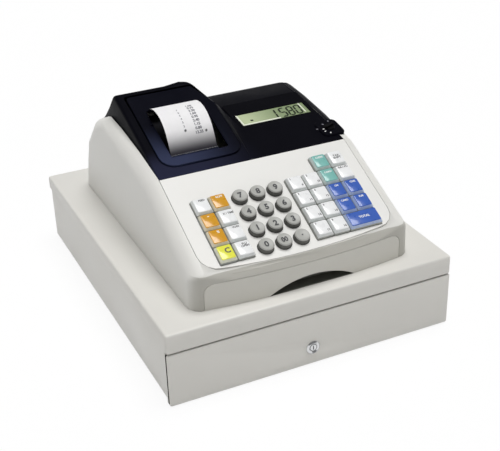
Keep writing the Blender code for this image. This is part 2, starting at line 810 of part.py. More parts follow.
# Square keys as (name, block, first column, row, width in columns, colour)
SQUARE_KEYS = (
    ("key_paper_feed", "left", 0, 1, 1, KEY_WHITE), ("key_receipt", "left", 1, 1, 1, KEY_ORANGE),
    ("key_minus", "left", 0, 2, 1, KEY_ORANGE), ("key_quantity", "left", 1, 2, 1, KEY_WHITE),
    ("key_percent", "left", 0, 3, 1, KEY_ORANGE), ("key_void", "left", 1, 3, 1, KEY_WHITE),
    ("key_clear", "left", 0, 4, 1, KEY_YELLOW), ("key_look_up", "left", 1, 4, 1, KEY_WHITE),
    ("key_group_1", "right", 0, 1, 1, KEY_WHITE), ("key_group_2", "right", 1, 1, 1, KEY_WHITE),
    ("key_group_3", "right", 0, 2, 1, KEY_WHITE), ("key_group_4", "right", 1, 2, 1, KEY_WHITE),
    ("key_group_5", "right", 0, 3, 1, KEY_WHITE), ("key_group_6", "right", 1, 3, 1, KEY_WHITE),
    ("key_group_7", "right", 0, 4, 1, KEY_WHITE), ("key_group_8", "right", 1, 4, 1, KEY_WHITE),
    ("key_clerk", "right", 2, 0, 1, KEY_TEAL), ("key_tax", "right", 3, 0, 1, KEY_WHITE),
    ("key_currency", "right", 2, 1, 1, KEY_TEAL), ("key_received", "right", 3, 1, 1, KEY_WHITE),
    ("key_charge", "right", 2, 2, 1, KEY_BLUE), ("key_cheque", "right", 3, 2, 1, KEY_BLUE),
    ("key_credit", "right", 2, 3, 1, KEY_BLUE), ("key_subtotal", "right", 3, 3, 1, KEY_BLUE),
    ("key_total", "right", 2, 4, 2, KEY_BLUE),
)
NUMBER_KEYS = (("7", "8", "9"), ("4", "5", "6"), ("1", "2", "3"), ("0", "00", "point"))
BLOCK_X = {"left": LEFT_BLOCK_X, "right": RIGHT_BLOCK_X}


def number_places():
    """Name and place of each number key."""
    places = []
    for row, names in enumerate(NUMBER_KEYS):
        for column, name in enumerate(names):
            x = NUMBER_X + (column - 1) * NUMBER_PITCH_X
            places.append((name, x, NUMBER_ROW + row * NUMBER_PITCH_Y))
    return places


def square_places():
    """Name, place, width and colour of each square key."""
    return [(name, BLOCK_X[block] + (column + (width - 1) / 2) * KEY_PITCH_X, block_row(row), width, colour)
            for name, block, column, row, width, colour in SQUARE_KEYS]


def block_outline(block):
    """The opening round a block of square keys; the right one steps up over two columns."""
    side = KEY_PITCH_X / 2 - KEY_GAP / 2 + BLOCK_MARGIN
    end = KEY_PITCH_Y / 2 - KEY_GAP / 2 + BLOCK_MARGIN
    left = BLOCK_X[block] - BODY_X - side
    low = -block_row(4) - end
    top = -block_row(1) + end
    if block == "left":
        return rectangle(left, low, left + KEY_PITCH_X + 2 * side, top, KEY_CORNER, 2)
    step = left + 2 * KEY_PITCH_X
    right = left + 3 * KEY_PITCH_X + 2 * side
    high = -block_row(0) + end
    corners = [(left, low), (right, low), (right, high), (step, high), (step, top), (left, top)]
    return rounded(corners, [KEY_CORNER] * len(corners), 2)


def keyboard_panel():
    """The keyboard panel: a flush plate with one opening to each block and to each number key."""
    outlines = [panel_outline(0.0), block_outline("left"), block_outline("right")]
    for name, x, row in number_places():
        outlines.append(circle(x - BODY_X, -row, NUMBER_RADIUS + NUMBER_RING))
    panel = plate("keyboard_panel", outlines, -PANEL_THICKNESS, 0)
    panel.matrix_world = SLOPE
    return finish(panel, OFF_WHITE, 0.42)


def guide_holes():
    """Square and round holes for the stems, as one cutting form."""
    form = bmesh.new()
    half = STEM / 2 + SEAT
    low, high = -GUIDE_DROP - OVERRUN, -GUIDE_DROP + GUIDE_THICKNESS
    for name, x, row, width, colour in square_places():
        middle = x - BODY_X
        add_box(form, (middle - half, -row - half, low), (middle + half, -row + half, high))
    for name, x, row in number_places():
        place = Matrix.Translation((x - BODY_X, -row, (low + high) / 2))
        bmesh.ops.create_cone(form, cap_ends=True, segments=GUIDE_STEPS, radius1=half, radius2=half,
                              depth=high - low, matrix=place)
    holes = from_bmesh("guide_holes", form)
    holes.matrix_world = SLOPE
    return holes


def key_guide_board():
    """Board under the panel with a guide hole for each stem, on posts that reach the panel."""
    half = PANEL_HALF_WIDTH - GUIDE_MARGIN
    top = -FIRST_ROW + KEY_PITCH_Y / 2 + GUIDE_MARGIN
    low = -PANEL_SLOPE + GUIDE_MARGIN
    outline = rectangle(-half, low, half, top, GUIDE_MARGIN)
    board = plate("key_guide_board", [outline], -GUIDE_DROP - GUIDE_THICKNESS, -GUIDE_DROP)
    posts = bmesh.new()
    inset = half - 2 * GUIDE_POST
    height = GUIDE_DROP - PANEL_THICKNESS - SEAT + GUIDE_THICKNESS / 2
    middle_z = -PANEL_THICKNESS - SEAT - height / 2
    for x in (-inset, 0, inset):
        place = Matrix.Translation((x, top - 2 * GUIDE_POST, middle_z))
        bmesh.ops.create_cone(posts, cap_ends=True, segments=GUIDE_STEPS, radius1=GUIDE_POST,
                              radius2=GUIDE_POST, depth=height, matrix=place)
    form = from_bmesh("guide_posts", posts)
    form.matrix_world = SLOPE
    board.matrix_world = SLOPE
    join(board, form)
    cut(board, guide_holes())
    return finish(board, (0.05, 0.16, 0.07), 0.55)


def keys():
    """All the keys."""
    for name, x, row, width, colour in square_places():
        square_key(name, width, x, row, colour)
    for name, x, row in number_places():
        number_key("key_" + name, x, row)


# Deck, printer housing and display

DECK_FRONT = KEYBOARD_TOP_Y
HOUSING_FRONT = DECK_FRONT + HOUSING_START
HOUSING_RIDGE = DECK_FRONT + HOUSING_BACK
HOUSING_BASE_Z = deck_height(HOUSING_FRONT)
HOUSING_TOP_Z = HOUSING_BASE_Z + (HOUSING_RIDGE - HOUSING_FRONT) * math.tan(HOUSING_TILT)


def housing_line():
    """Side outline of the printer housing's roof, with its ridge rounded, as (y, z)."""
    fall = math.tan(HOUSING_BACK_TILT)
    end = RIDGE_Y + DECK_BACK
    foot = (end, HOUSING_TOP_Z - (end - HOUSING_RIDGE) * fall)
    start = (HOUSING_FRONT, HOUSING_BASE_Z)
    ridge = fillet(start, (HOUSING_RIDGE, HOUSING_TOP_Z), foot, RIDGE_SOFTNESS)
    return [start] + ridge + [foot]


def soft_corner(before, corner, after, reach, steps=ARC_STEPS):
    """A rounded corner that keeps its points apart even where the run is straight."""
    corner = Vector(corner)
    back = Vector(before) - corner
    ahead = Vector(after) - corner
    start = corner + back * min(reach / back.length, 0.45)
    end = corner + ahead * min(reach / ahead.length, 0.45)
    points = []
    for step in range(steps + 1):
        share = step / steps
        points.append(start * (1 - share) ** 2 + corner * (2 * share * (1 - share)) + end * share ** 2)
    return [tuple(point) for point in points]


def deck_section(y):
    """Across the deck at a depth: from its left edge over the housing to its right edge."""
    base = deck_height(y)
    line = housing_line()
    top = base
    if line[0][0] < y < line[-1][0]:
        top = max(base, interpolate(line, y))
    full = HOUSING_TOP_Z - deck_height(HOUSING_RIDGE)
    edge_left = BODY_X - PANEL_HALF_WIDTH + SEAT
    edge_right = BODY_X + PANEL_HALF_WIDTH - SEAT
    cut_start = HOUSING_RIDGE - HOUSING_CUT_DEPTH
    right = HOUSING_RIGHT - HOUSING_RIGHT_CUT * min(max((y - cut_start) / HOUSING_CUT_DEPTH, 0), 1)
    spread = HOUSING_RIGHT_SPREAD * (top - base) / full + HOUSING_FLANK
    crest = top + CREST_RISE * max(1 - abs(y - HOUSING_RIDGE) / CREST_REACH, 0)
    left_foot = (edge_left + HOUSING_FLANK / 2, base)
    left_top = (edge_left + HOUSING_FLANK, top)
    right_top = (right, top)
    right_foot = (right + spread, base)
    points = [(edge_left, base), left_foot]
    points += soft_corner(left_foot, left_top, (CREST_LEFT, top), LEFT_SOFTNESS)
    points += [(CREST_LEFT, top), (CREST_X, crest)]
    points += soft_corner((CREST_X, crest), right_top, right_foot, RIGHT_SOFTNESS)
    points += soft_corner(right_top, right_foot, (edge_right, base), RIGHT_SOFTNESS / 4, 2)
    points.append((edge_right, base))
    return [(x, y, z) for x, z in points]


def cover_frame():
    """The printer cover's own plane: its origin in the middle of the front edge, on its top face."""
    along = (COVER_START - HOUSING_START) / math.cos(HOUSING_TILT)
    start = Vector((COVER_X, HOUSING_FRONT, HOUSING_BASE_Z))
    turn = Matrix.Rotation(HOUSING_TILT, 4, "X")
    return Matrix.Translation(start) @ turn @ Matrix.Translation((0, along, COVER_PROUD))


def cover_corners(length, cut_off=COVER_CUT):
    """Sharp corners of the printer cover in its own plane; its right rear corner is cut off."""
    half = COVER_HALF_WIDTH
    return [(-half, 0), (half, 0), (half, COVER_LENGTH - COVER_CUT_LENGTH), (half - cut_off, length),
            (-half, length)]


def cover_radii(grow):
    """Corner radii of the printer cover, one to each of its corners."""
    return [COVER_CORNER + grow] * 2 + [COVER_CORNER / 2, COVER_CORNER / 4, COVER_CORNER / 4]


def cover_outline():
    """The printer cover's outline in its own plane."""
    return rounded(cover_corners(COVER_LENGTH), cover_radii(0.0))


def bay_outline():
    """Opening in the housing's roof: the cover's outline, its groove and room to swing open."""
    hinge_reach = math.hypot(HINGE_OVERHANG, HINGE_DROP)
    length = COVER_LENGTH - HINGE_OVERHANG + hinge_reach - COVER_GROOVE / 2
    corners = cover_corners(length, COVER_CUT - COVER_SWING)
    return rounded(inset_loop(corners, -COVER_GROOVE), cover_radii(COVER_GROOVE))


def bay_ledge():
    """Ledge round the bay, under the edge of the printer cover, which ends before the hinge."""
    corners = cover_corners(COVER_LENGTH)
    outer = rounded(inset_loop(corners, -COVER_GROOVE - SHEET), cover_radii(COVER_GROOVE + SHEET))
    inner = rounded(inset_loop(corners, BAY_LEDGE), cover_radii(-BAY_LEDGE / 2))
    top = -COVER_THICKNESS - SEAT
    ledge = plate("bay_ledge", [outer, inner], top - BAY_LEDGE_SHEET, top)
    reach = COVER_HALF_WIDTH + OVERRUN
    start = COVER_LENGTH - BAY_LEDGE_END
    rear = box("ledge_rear", (-reach, start, -OVERRUN), (reach, COVER_LENGTH + OVERRUN, OVERRUN))
    for form in (ledge, rear):
        form.matrix_world = cover_frame()
    return cut(ledge, rear)


def hinge_span():
    """Left and right inner faces of the ears that carry the hinge, beside the bay."""
    return -COVER_HALF_WIDTH - COVER_GROOVE, COVER_HALF_WIDTH - COVER_CUT + 2 * COVER_GROOVE


def hinge_ears():
    """Two ears under the roof that carry the cover's hinge pins, in the cover's plane."""
    form = bmesh.new()
    left, right = hinge_span()
    y = COVER_LENGTH - HINGE_OVERHANG
    low = -HINGE_DROP - 2 * HINGE_BARREL
    high = -COVER_PROUD - DECK_WALL / 2
    for near, far in ((left - HINGE_EAR, left), (right, right + HINGE_EAR)):
        add_box(form, (near, y - 2 * HINGE_BARREL, low), (far, y + 2 * HINGE_BARREL, high))
    ears = from_bmesh("hinge_ears", form)
    ears.matrix_world = cover_frame()
    return ears


def deck_cover():
    """Dark deck: one moulding from the keyboard to the back slope, with the printer housing."""
    depths = {DECK_FRONT + SEAT, HOUSING_FRONT, RIDGE_Y + DECK_BACK - SEAT}
    depths |= {y for y, z in body_corners()[2:] if DECK_FRONT < y < RIDGE_Y + DECK_BACK}
    depths |= {y for y, z in housing_line()[1:-1]}
    depths |= {HOUSING_FRONT + (HOUSING_RIDGE - HOUSING_FRONT) * 0.35, HOUSING_RIDGE - HOUSING_CUT_DEPTH,
               HOUSING_RIDGE - HOUSING_CUT_DEPTH / 2, HOUSING_RIDGE - CREST_REACH}
    bm = bmesh.new()
    rows = [[bm.verts.new(point) for point in deck_section(y)] for y in sorted(depths)]
    grid_faces(bm, rows)
    deck = from_bmesh("deck_cover", bm)
    smooth(deck)
    shell(deck, DECK_WALL)
    bay = plate("printer_bay", [bay_outline()], -OVERRUN, OVERRUN)
    bay.matrix_world = cover_frame()
    join(deck, hinge_ears())
    cut(deck, bay)
    join(deck, bay_ledge())
    panel_room = plate("panel_room", [panel_outline(SEAT)], -PANEL_THICKNESS - SEAT, OVERRUN)
    panel_room.matrix_world = SLOPE
    cut(deck, panel_room)
    hinge_y = COVER_LENGTH - HINGE_OVERHANG
    left, right = hinge_span()
    bore = rod("hinge_bore", (left - HINGE_EAR - SEAT, hinge_y, -HINGE_DROP),
               (right + HINGE_EAR + SEAT, hinge_y, -HINGE_DROP), HINGE_PIN + SEAT, GUIDE_STEPS)
    bore.matrix_world = cover_frame()
    cut(deck, bore)
    lens_place = plate("lens_place", [lens_outline(SEAT)], -LENS_THICKNESS - SEAT, OVERRUN)
    lens_place.matrix_world = lens_frame()
    lcd_place = plate("lcd_place", [lcd_outline(SEAT)], -2 * OVERRUN, OVERRUN)
    lcd_place.matrix_world = lens_frame()
    cut(deck, lens_place)
    cut(deck, lcd_place)
    levels = ((0.0, -SWITCH_SKIRT), (0.0, SWITCH_PROUD - SWITCH_EDGE), (-SWITCH_EDGE, SWITCH_PROUD))
    pad = ring_loft("switch_pad", [[(x, y, z) for x, y in switch_outline(grow)] for grow, z in levels])
    bore = MODE_KEY_RADIUS + SEAT
    barrel = rod("switch_bore", (0, 0, -SWITCH_SKIRT - OVERRUN), (0, 0, OVERRUN), bore)
    for form, combining in ((pad, join), (barrel, cut)):
        form.matrix_world = switch_frame()
        combining(deck, form)
    return finish(deck, NAVY, 0.30)


def lens_frame():
    """The display's plane: its origin in the middle of the front edge of the lens."""
    y = DECK_FRONT + LENS_START
    place = Matrix.Translation((LENS_X, y, deck_height(y) - LENS_DROP))
    return place @ Matrix.Rotation(LENS_TILT, 4, "X")


def lens_outline(grow):
    """The display lens in its plane."""
    half = LENS_HALF_WIDTH + grow
    return rectangle(-half, -grow, half, LENS_LENGTH + grow, LENS_CORNER)


def lcd_outline(grow):
    """The display glass in the lens's plane."""
    half = LCD_HALF_WIDTH + grow
    middle = LCD_X - LENS_X
    start = LCD_START - LENS_START
    end = start + LCD_LENGTH
    return rectangle(middle - half, start - grow, middle + half, end + grow, KEY_CORNER / 2, 1)


def display():
    """The lens with its opening, and the liquid crystal panel in it."""
    lens = plate("display_window", [lens_outline(0.0), lcd_outline(0.0)], -LENS_THICKNESS, 0)
    lens.matrix_world = lens_frame()
    finish(lens, NAVY, 0.12)
    panel = plate("lcd_panel", [lcd_outline(-SEAT)], -LCD_DROP - LCD_THICKNESS, -LCD_DROP)
    panel.matrix_world = lens_frame()
    finish(panel, LCD_GREEN, 0.20)


def switch_frame():
    """The mode switch's place on the deck, with Z square to the deck."""
    y = DECK_FRONT + SWITCH_Y
    reach = SWITCH_HALF_DEPTH
    rise = (deck_height(y + reach) - deck_height(y - reach)) / (2 * reach)
    return Matrix.Translation((SWITCH_X, y, deck_height(y))) @ Matrix.Rotation(math.atan(rise), 4, "X")


def switch_outline(grow):
    """The mode switch's pad, which reaches over the body's right shoulder."""
    half_x, half_y = SWITCH_HALF_WIDTH + grow, SWITCH_HALF_DEPTH + grow
    return rectangle(-half_x, -half_y, half_x, half_y, SWITCH_CORNER + grow)


def mode_key():
    """The mode switch's turning barrel with a low grip across its face."""
    face = SWITCH_PROUD + MODE_KEY_PROUD
    edge = MODE_KEY_PROUD / 2
    key = turned("mode_key", [(0, face), (MODE_KEY_RADIUS - edge, face), (MODE_KEY_RADIUS, face - edge),
                              (MODE_KEY_RADIUS, -MODE_KEY_REACH), (0, -MODE_KEY_REACH)])
    half_x, half_y = MODE_KEY_GRIP_LENGTH / 2, MODE_KEY_GRIP_WIDTH / 2
    grip = plate("mode_grip", [rectangle(-half_x, -half_y, half_x, half_y, half_y * 0.8)], face - edge,
                 face + MODE_KEY_GRIP_HEIGHT)
    key.matrix_world = switch_frame() @ Matrix.Rotation(MODE_KEY_REST, 4, "Z")
    grip.matrix_world = key.matrix_world
    join(key, grip)
    return finish(key, RUBBER_BLACK, 0.35)


# Printer


def printer_cover():
    """Hinged cover of the printer: a flat frame with a window, a barrel and two pins."""
    window = rectangle(-WINDOW_HALF_WIDTH, WINDOW_START, WINDOW_HALF_WIDTH, WINDOW_START + WINDOW_LENGTH,
                       WINDOW_CORNER)
    y = COVER_LENGTH - HINGE_OVERHANG
    frame = plate("printer_cover", [cover_outline(), window], -COVER_THICKNESS, 0)
    hinge = cover_frame() @ Matrix.Translation((0, y, -HINGE_DROP))
    frame.data.transform(Matrix.Translation((0, -y, HINGE_DROP)))
    frame.matrix_world = hinge
    soften(frame, COVER_THICKNESS / 6, 1, 60.0)
    leaf = HINGE_DROP - COVER_THICKNESS / 2
    left, right = hinge_span()
    low, high = left + 2 * HINGE_EAR, right - 2 * HINGE_EAR
    barrel = rod("hinge_barrel", (low, 0, 0), (high, 0, 0), HINGE_BARREL, KEY_STEPS)
    pins = rod("hinge_pins", (left - HINGE_EAR, 0, 0), (right + HINGE_EAR, 0, 0), HINGE_PIN, GUIDE_STEPS)
    web = box("hinge_web", (low + SEAT, -HINGE_BARREL / 2, 0), (high - SEAT, HINGE_BARREL / 2, leaf))
    for form in (web, barrel, pins):
        form.matrix_world = hinge
        join(frame, form)
    for form in (tear_ledge(), window_lug()):
        join(frame, form)
    return finish(frame, NAVY, 0.28)


def tear_ledge():
    """Dark ledge under the cover's front band, which carries the tear bar behind the band."""
    half = TEAR_BAR_LENGTH / 2
    middle = TICKET_X - COVER_X
    ledge = box("tear_ledge", (middle - half, WINDOW_START - TEAR_LEDGE_GRIP,
                               -COVER_THICKNESS - TEAR_LEDGE_SHEET / 2),
                (middle + half, WINDOW_START + TEAR_LEDGE_REACH, -COVER_THICKNESS + TEAR_LEDGE_SHEET / 2))
    ledge.matrix_world = cover_frame()
    return ledge


def window_lug():
    """Small round lug on the cover, beside the window's left edge."""
    radius = WINDOW_LUG_RADIUS
    edge = radius / 3
    lug = turned("window_lug", [(0, WINDOW_LUG_RISE), (radius - edge, WINDOW_LUG_RISE),
                                (radius, WINDOW_LUG_RISE - edge), (radius, -COVER_THICKNESS / 2),
                                (0, -COVER_THICKNESS / 2)], KEY_STEPS)
    place = Matrix.Translation((-WINDOW_HALF_WIDTH - radius, WINDOW_START + WINDOW_LUG_START, 0))
    lug.matrix_world = cover_frame() @ place
    return lug


def tear_bar():
    """Toothed steel bar that stands on the cover's ledge, just in front of the ticket."""
    half = TEAR_BAR_LENGTH / 2
    foot = -COVER_THICKNESS + TEAR_LEDGE_SHEET / 2 + SEAT
    top = -TEAR_BAR_DROP
    tooth = TEAR_BAR_LENGTH / TEAR_TEETH
    outline = [(-half, foot), (half, foot), (half, top)]
    for step in range(TEAR_TEETH):
        x = half - tooth * step
        outline += [(x - tooth / 2, top + TEAR_TOOTH), (x - tooth, top)]
    back = WINDOW_START + TEAR_LEDGE_REACH
    bar = front_prism("tear_bar", outline, back - TEAR_BAR_SHEET, back)
    bar.matrix_world = cover_frame() @ Matrix.Translation((TICKET_X - COVER_X, 0, 0))
    return finish(bar, (0.7, 0.7, 0.7), 0.3, 1.0)


def ticket_exit():
    """Where the ticket comes out, as (y, z)."""
    y = DECK_FRONT + TICKET_EXIT_Y
    roof = HOUSING_BASE_Z + (y - HOUSING_FRONT) * math.tan(HOUSING_TILT)
    return Vector((y, roof - TICKET_EXIT_DROP))


def ticket_direction():
    """Direction of the ticket at its exit, as (y, z): up and a little back."""
    return Vector((math.sin(TICKET_LEAN), math.cos(TICKET_LEAN)))


def ticket_line():
    """Side line of the ticket: a straight tail, a wide arc and a tighter curl at its end."""
    start = ticket_exit()
    heading = ticket_direction()
    line = [start - heading * TICKET_TAIL, start]
    angle = math.pi / 2 - TICKET_LEAN
    steps = 2 * BODY_STEPS
    arcs = ((TICKET_RADIUS, TICKET_SWEEP, steps // 4), (TICKET_CURL_RADIUS, TICKET_CURL, steps))
    for radius, sweep, count in arcs:
        turn = sweep / count
        for _ in range(count):
            middle = angle - turn / 2
            chord = 2 * radius * math.sin(turn / 2)
            line.append(line[-1] + Vector((math.cos(middle), math.sin(middle))) * chord)
            angle -= turn
    return line


def ticket():
    """The printed ticket, standing out of the printer."""
    bm = bmesh.new()
    low, high = TICKET_X - TICKET_WIDTH / 2, TICKET_X + TICKET_WIDTH / 2
    rows = [[bm.verts.new((x, y, z)) for x in (high, low)] for y, z in ticket_line()]
    grid_faces(bm, rows)
    strip = from_bmesh("paper_strip", bm)
    smooth(strip)
    shell(strip, TICKET_SHEET)
    return finish(strip, PAPER_WHITE, 0.75)


def roller_centre():
    """Axis of the feed roller, just behind the ticket, as (y, z)."""
    heading = ticket_direction()
    behind = Vector((heading.y, -heading.x))
    return ticket_exit() - heading * (TICKET_TAIL - ROLLER_RADIUS / 2) + behind * (
        ROLLER_RADIUS + ROLLER_GAP + TICKET_SHEET)


def roll_centre():
    """Axis of the paper roll, as (y, z)."""
    return Vector((DECK_FRONT + ROLL_Y, ROLL_Z))


def cheek_faces():
    """Inner faces of the printer's cheeks, left and right."""
    half = TICKET_WIDTH / 2 + CHEEK_GAP
    return TICKET_X - half, TICKET_X + half


def across(name, centre, profile, steps=ROUND_STEPS):
    """A turned piece whose axis runs along X through a (y, z) point."""
    item = turned(name, profile, steps)
    item.matrix_world = Matrix.Translation((TICKET_X, *centre)) @ Matrix.Rotation(math.pi / 2, 4, "Y")
    return item


def rollers():
    """The feed roller on its shaft, and the paper roll on its spindle."""
    reach = TICKET_WIDTH / 2 + CHEEK_GAP + CHEEK_SHEET
    half = TICKET_WIDTH / 2
    shaft = ROLLER_SHAFT
    profile = [(0, reach), (shaft, reach), (shaft, half), (ROLLER_RADIUS, half), (ROLLER_RADIUS, -half),
               (shaft, -half), (shaft, -reach), (0, -reach)]
    finish(across("feed_roller", roller_centre(), profile), RUBBER_BLACK, 0.7)
    spindle = ROLL_SPINDLE
    lip = half + CORE_PROUD
    profile = [(0, reach), (spindle, reach), (spindle, lip), (ROLL_CORE, lip), (ROLL_CORE, half),
               (ROLL_RADIUS, half), (ROLL_RADIUS, -half), (ROLL_CORE, -half), (ROLL_CORE, -lip),
               (spindle, -lip), (spindle, -reach), (0, -reach)]
    finish(across("paper_roll", roll_centre(), profile), PAPER_WHITE, 0.8)


def printer_mechanism():
    """The printer's frame: two cheeks that stand on the floor, a print head and two cross ties."""
    roller, roll = roller_centre(), roll_centre()
    floor = BODY_FOOT + FLOOR_SHEET + SEAT
    margin = CHEEK_MARGIN
    outline = rounded(
        [(roller.x - 2 * margin, floor), (roll.x + margin, floor), (roll.x + margin, roll.y + margin),
         (roller.x + margin, roller.y + margin), (roller.x - 2 * margin, roller.y + margin)],
        [margin / 7, margin / 7, margin, margin, margin / 2])
    holes = [circle(*roller, ROLLER_SHAFT + SEAT), circle(*roll, ROLL_SPINDLE + SEAT)]
    left, right = cheek_faces()
    frame = side_plate("printer_mechanism", [outline] + holes, left - CHEEK_SHEET, left)
    join(frame, side_plate("right_cheek", [outline] + holes, right, right + CHEEK_SHEET))
    low_x, high_x = left - CHEEK_SHEET / 2, right + CHEEK_SHEET / 2
    head_low = roller.y - HEAD_HEIGHT / 2
    ticket_run = (ticket_exit().y - head_low) * math.tan(TICKET_LEAN)
    head_back = ticket_exit().x - ticket_run - TICKET_SHEET - HEAD_GAP
    ties = bmesh.new()
    add_box(ties, (low_x, head_back - HEAD_DEPTH, head_low), (high_x, head_back, head_low + HEAD_HEIGHT))
    for y in (roller.x, roll.x - TIE_DEPTH):
        add_box(ties, (low_x, y, floor + SHEET), (high_x, y + TIE_DEPTH, floor + SHEET + CHEEK_SHEET))
    join(frame, from_bmesh("cross_ties", ties))
    return finish(frame, STEEL, 0.4, 0.8)


# Cabinet and drawer


def cabinet_shell():
    """Sheet steel cabinet, open at the front, with a rail along each side."""
    half = CABINET_WIDTH / 2 - SHEET - SEAT
    top = CABINET_TOP - SHEET - SEAT
    low = (-half, SHELL_FRONT, FOOT_HEIGHT)
    high = (half, BACK_Y - SHEET - SEAT, top)
    cabinet = pan("cabinet_shell", low, high, 1, False, SHEET, LID_EDGE)
    rails = bmesh.new()
    inner = half - SHEET
    for side in (-1, 1):
        near, far = sorted((side * (inner - RAIL_WIDTH), side * (inner + SHEET / 2)))
        add_box(rails, (near, SHELL_FRONT, RAIL_HEIGHT), (far, high[1] - SHEET / 2, RAIL_HEIGHT + SHEET))
    join(cabinet, from_bmesh("rails", rails))
    join(cabinet, feet())
    return finish(cabinet, OFF_WHITE, 0.5)


def cabinet_lid():
    """The lid: a folded plate whose side skirts sweep down into a deep front lip."""
    half = CABINET_WIDTH / 2
    low = (-half, FRONT_Y, CABINET_TOP - LID_LIP)
    lid = pan("cabinet_lid", low, (half, BACK_Y, CABINET_TOP), 2, False, SHEET, LID_EDGE)
    skirt = CABINET_TOP - LID_SKIRT
    foot = CABINET_TOP - LID_LIP
    back = BACK_Y + OVERRUN
    sweep_start = SHELL_FRONT
    outline = [(back, skirt), (back, foot - OVERRUN), (sweep_start, foot - OVERRUN), (sweep_start, foot)]
    drop = skirt - foot
    for step in range(BODY_STEPS + 1):
        share = step / BODY_STEPS
        outline.append((sweep_start + LID_LIP_SWEEP * share, foot + drop * math.sin(share * math.pi / 2)))
    cut(lid, side_plate("skirt_trim", [outline], -half - OVERRUN, half + OVERRUN))
    return finish(lid, OFF_WHITE, 0.5)


def feet():
    """Four round feet that stand under the cabinet's floor."""
    bm = bmesh.new()
    height = FOOT_HEIGHT + SHEET / 2
    for x in (-1, 1):
        for y in (SHELL_FRONT + FOOT_INSET, BACK_Y - FOOT_INSET):
            place = Matrix.Translation((x * (CABINET_WIDTH / 2 - FOOT_INSET), y, height / 2))
            bmesh.ops.create_cone(bm, cap_ends=True, segments=ROUND_STEPS, radius1=FOOT_RADIUS * 0.85,
                                  radius2=FOOT_RADIUS, depth=height, matrix=place)
    return from_bmesh("feet", bm)


DRAWER_TOP = CABINET_TOP - LID_LIP - DRAWER_GAP
TRAY_HALF_WIDTH = CABINET_WIDTH / 2 - 2 * SHEET - 2 * SEAT - RAIL_WIDTH - SHEET
TRAY_BOTTOM = FOOT_HEIGHT + SHEET + TRAY_FLOOR_GAP
TRAY_FRONT = FRONT_Y + DRAWER_FRONT_DEPTH + SEAT
TRAY_TOP = RAIL_HEIGHT + SHEET + SEAT + SHEET


def drawer_front():
    """Drawer front: a shallow pan with soft edges and the hole for the lock."""
    half = CABINET_WIDTH / 2
    back = FRONT_Y + DRAWER_FRONT_DEPTH
    front = pan("drawer_front", (-half, FRONT_Y, DRAWER_FRONT_BOTTOM), (half, back, DRAWER_TOP), 1, True,
                DRAWER_FRONT_SHEET, DRAWER_FRONT_EDGE)
    cut(front, rod("lock_hole", (LOCK_X, FRONT_Y - OVERRUN, LOCK_HEIGHT),
                   (LOCK_X, FRONT_Y + OVERRUN, LOCK_HEIGHT), LOCK_BARREL + SEAT))
    return finish(front, OFF_WHITE, 0.5)


def drawer_tray():
    """Steel tray of the drawer, hung on the rails by a flange along each side."""
    back = TRAY_FRONT + TRAY_DEPTH
    low = (-TRAY_HALF_WIDTH, TRAY_FRONT, TRAY_BOTTOM)
    tray = pan("drawer_tray", low, (TRAY_HALF_WIDTH, back, TRAY_TOP), 2, True, SHEET)
    flanges = bmesh.new()
    outer = TRAY_HALF_WIDTH + RAIL_WIDTH
    for side in (-1, 1):
        near, far = sorted((side * (TRAY_HALF_WIDTH - SHEET / 2), side * outer))
        add_box(flanges, (near, TRAY_FRONT, TRAY_TOP - SHEET), (far, back, TRAY_TOP))
    join(tray, from_bmesh("flanges", flanges))
    cut(tray, rod("lock_room", (LOCK_X, TRAY_FRONT - OVERRUN, LOCK_HEIGHT),
                  (LOCK_X, TRAY_FRONT + OVERRUN / 2, LOCK_HEIGHT), LOCK_BARREL + SEAT))
    return finish(tray, STEEL, 0.45, 0.6)


INSERT_HALF_WIDTH = TRAY_HALF_WIDTH - SHEET - SEAT
INSERT_FRONT = TRAY_FRONT + SHEET + INSERT_FRONT_GAP
INSERT_LOW = TRAY_BOTTOM + SHEET + SEAT
INSERT_BACK = INSERT_FRONT + INSERT_DEPTH


def bin_spans(count):
    """Left and right edges of equal bins across the insert."""
    pitch = (2 * INSERT_HALF_WIDTH - INSERT_WALL) / count
    left = -INSERT_HALF_WIDTH + INSERT_WALL
    return [(left + pitch * step, left + pitch * (step + 1) - INSERT_WALL) for step in range(count)]


def coin_depths():
    """Front and back edges of the rows of coin cups."""
    pitch = COIN_LENGTH + INSERT_WALL
    start = INSERT_FRONT + INSERT_WALL
    return [(start + pitch * row, start + pitch * row + COIN_LENGTH) for row in range(COIN_ROWS)]


def bill_depth():
    """Front and back edges of the bill bins."""
    return coin_depths()[-1][1] + INSERT_WALL, INSERT_BACK - INSERT_WALL


def till_insert():
    """Moulded insert with scooped coin cups in front and bill bins behind."""
    high = INSERT_LOW + INSERT_HEIGHT
    insert = box("till_insert", (-INSERT_HALF_WIDTH, INSERT_FRONT, INSERT_LOW),
                 (INSERT_HALF_WIDTH, INSERT_BACK, high))
    floor = INSERT_LOW + INSERT_WALL
    cups = bmesh.new()
    for left, right in bin_spans(COIN_COLUMNS):
        for front, back in coin_depths():
            add_box(cups, (left, front, floor), (right, back, high + OVERRUN))
    scoop_edges = [edge for edge in cups.edges
                   if abs(edge.verts[0].co.y - edge.verts[1].co.y) < MERGE
                   and max(vertex.co.z for vertex in edge.verts) < floor + MERGE]
    bmesh.ops.bevel(cups, geom=scoop_edges, offset=COIN_SCOOP, segments=ARC_STEPS, affect="EDGES")
    bins = bmesh.new()
    for left, right in bin_spans(BILL_BINS):
        add_box(bins, (left, bill_depth()[0], floor), (right, bill_depth()[1], high + OVERRUN))
    cut(insert, from_bmesh("coin_cups", cups))
    cut(insert, from_bmesh("bill_bins", bins))
    y, z = clip_axis()
    reach = clip_reach() + SEAT
    cut(insert, rod("clip_bore", (-reach, y, z), (reach, y, z), CLIP_SHAFT + SEAT, KEY_STEPS // 2))
    return finish(insert, (0.03, 0.03, 0.03), 0.6)


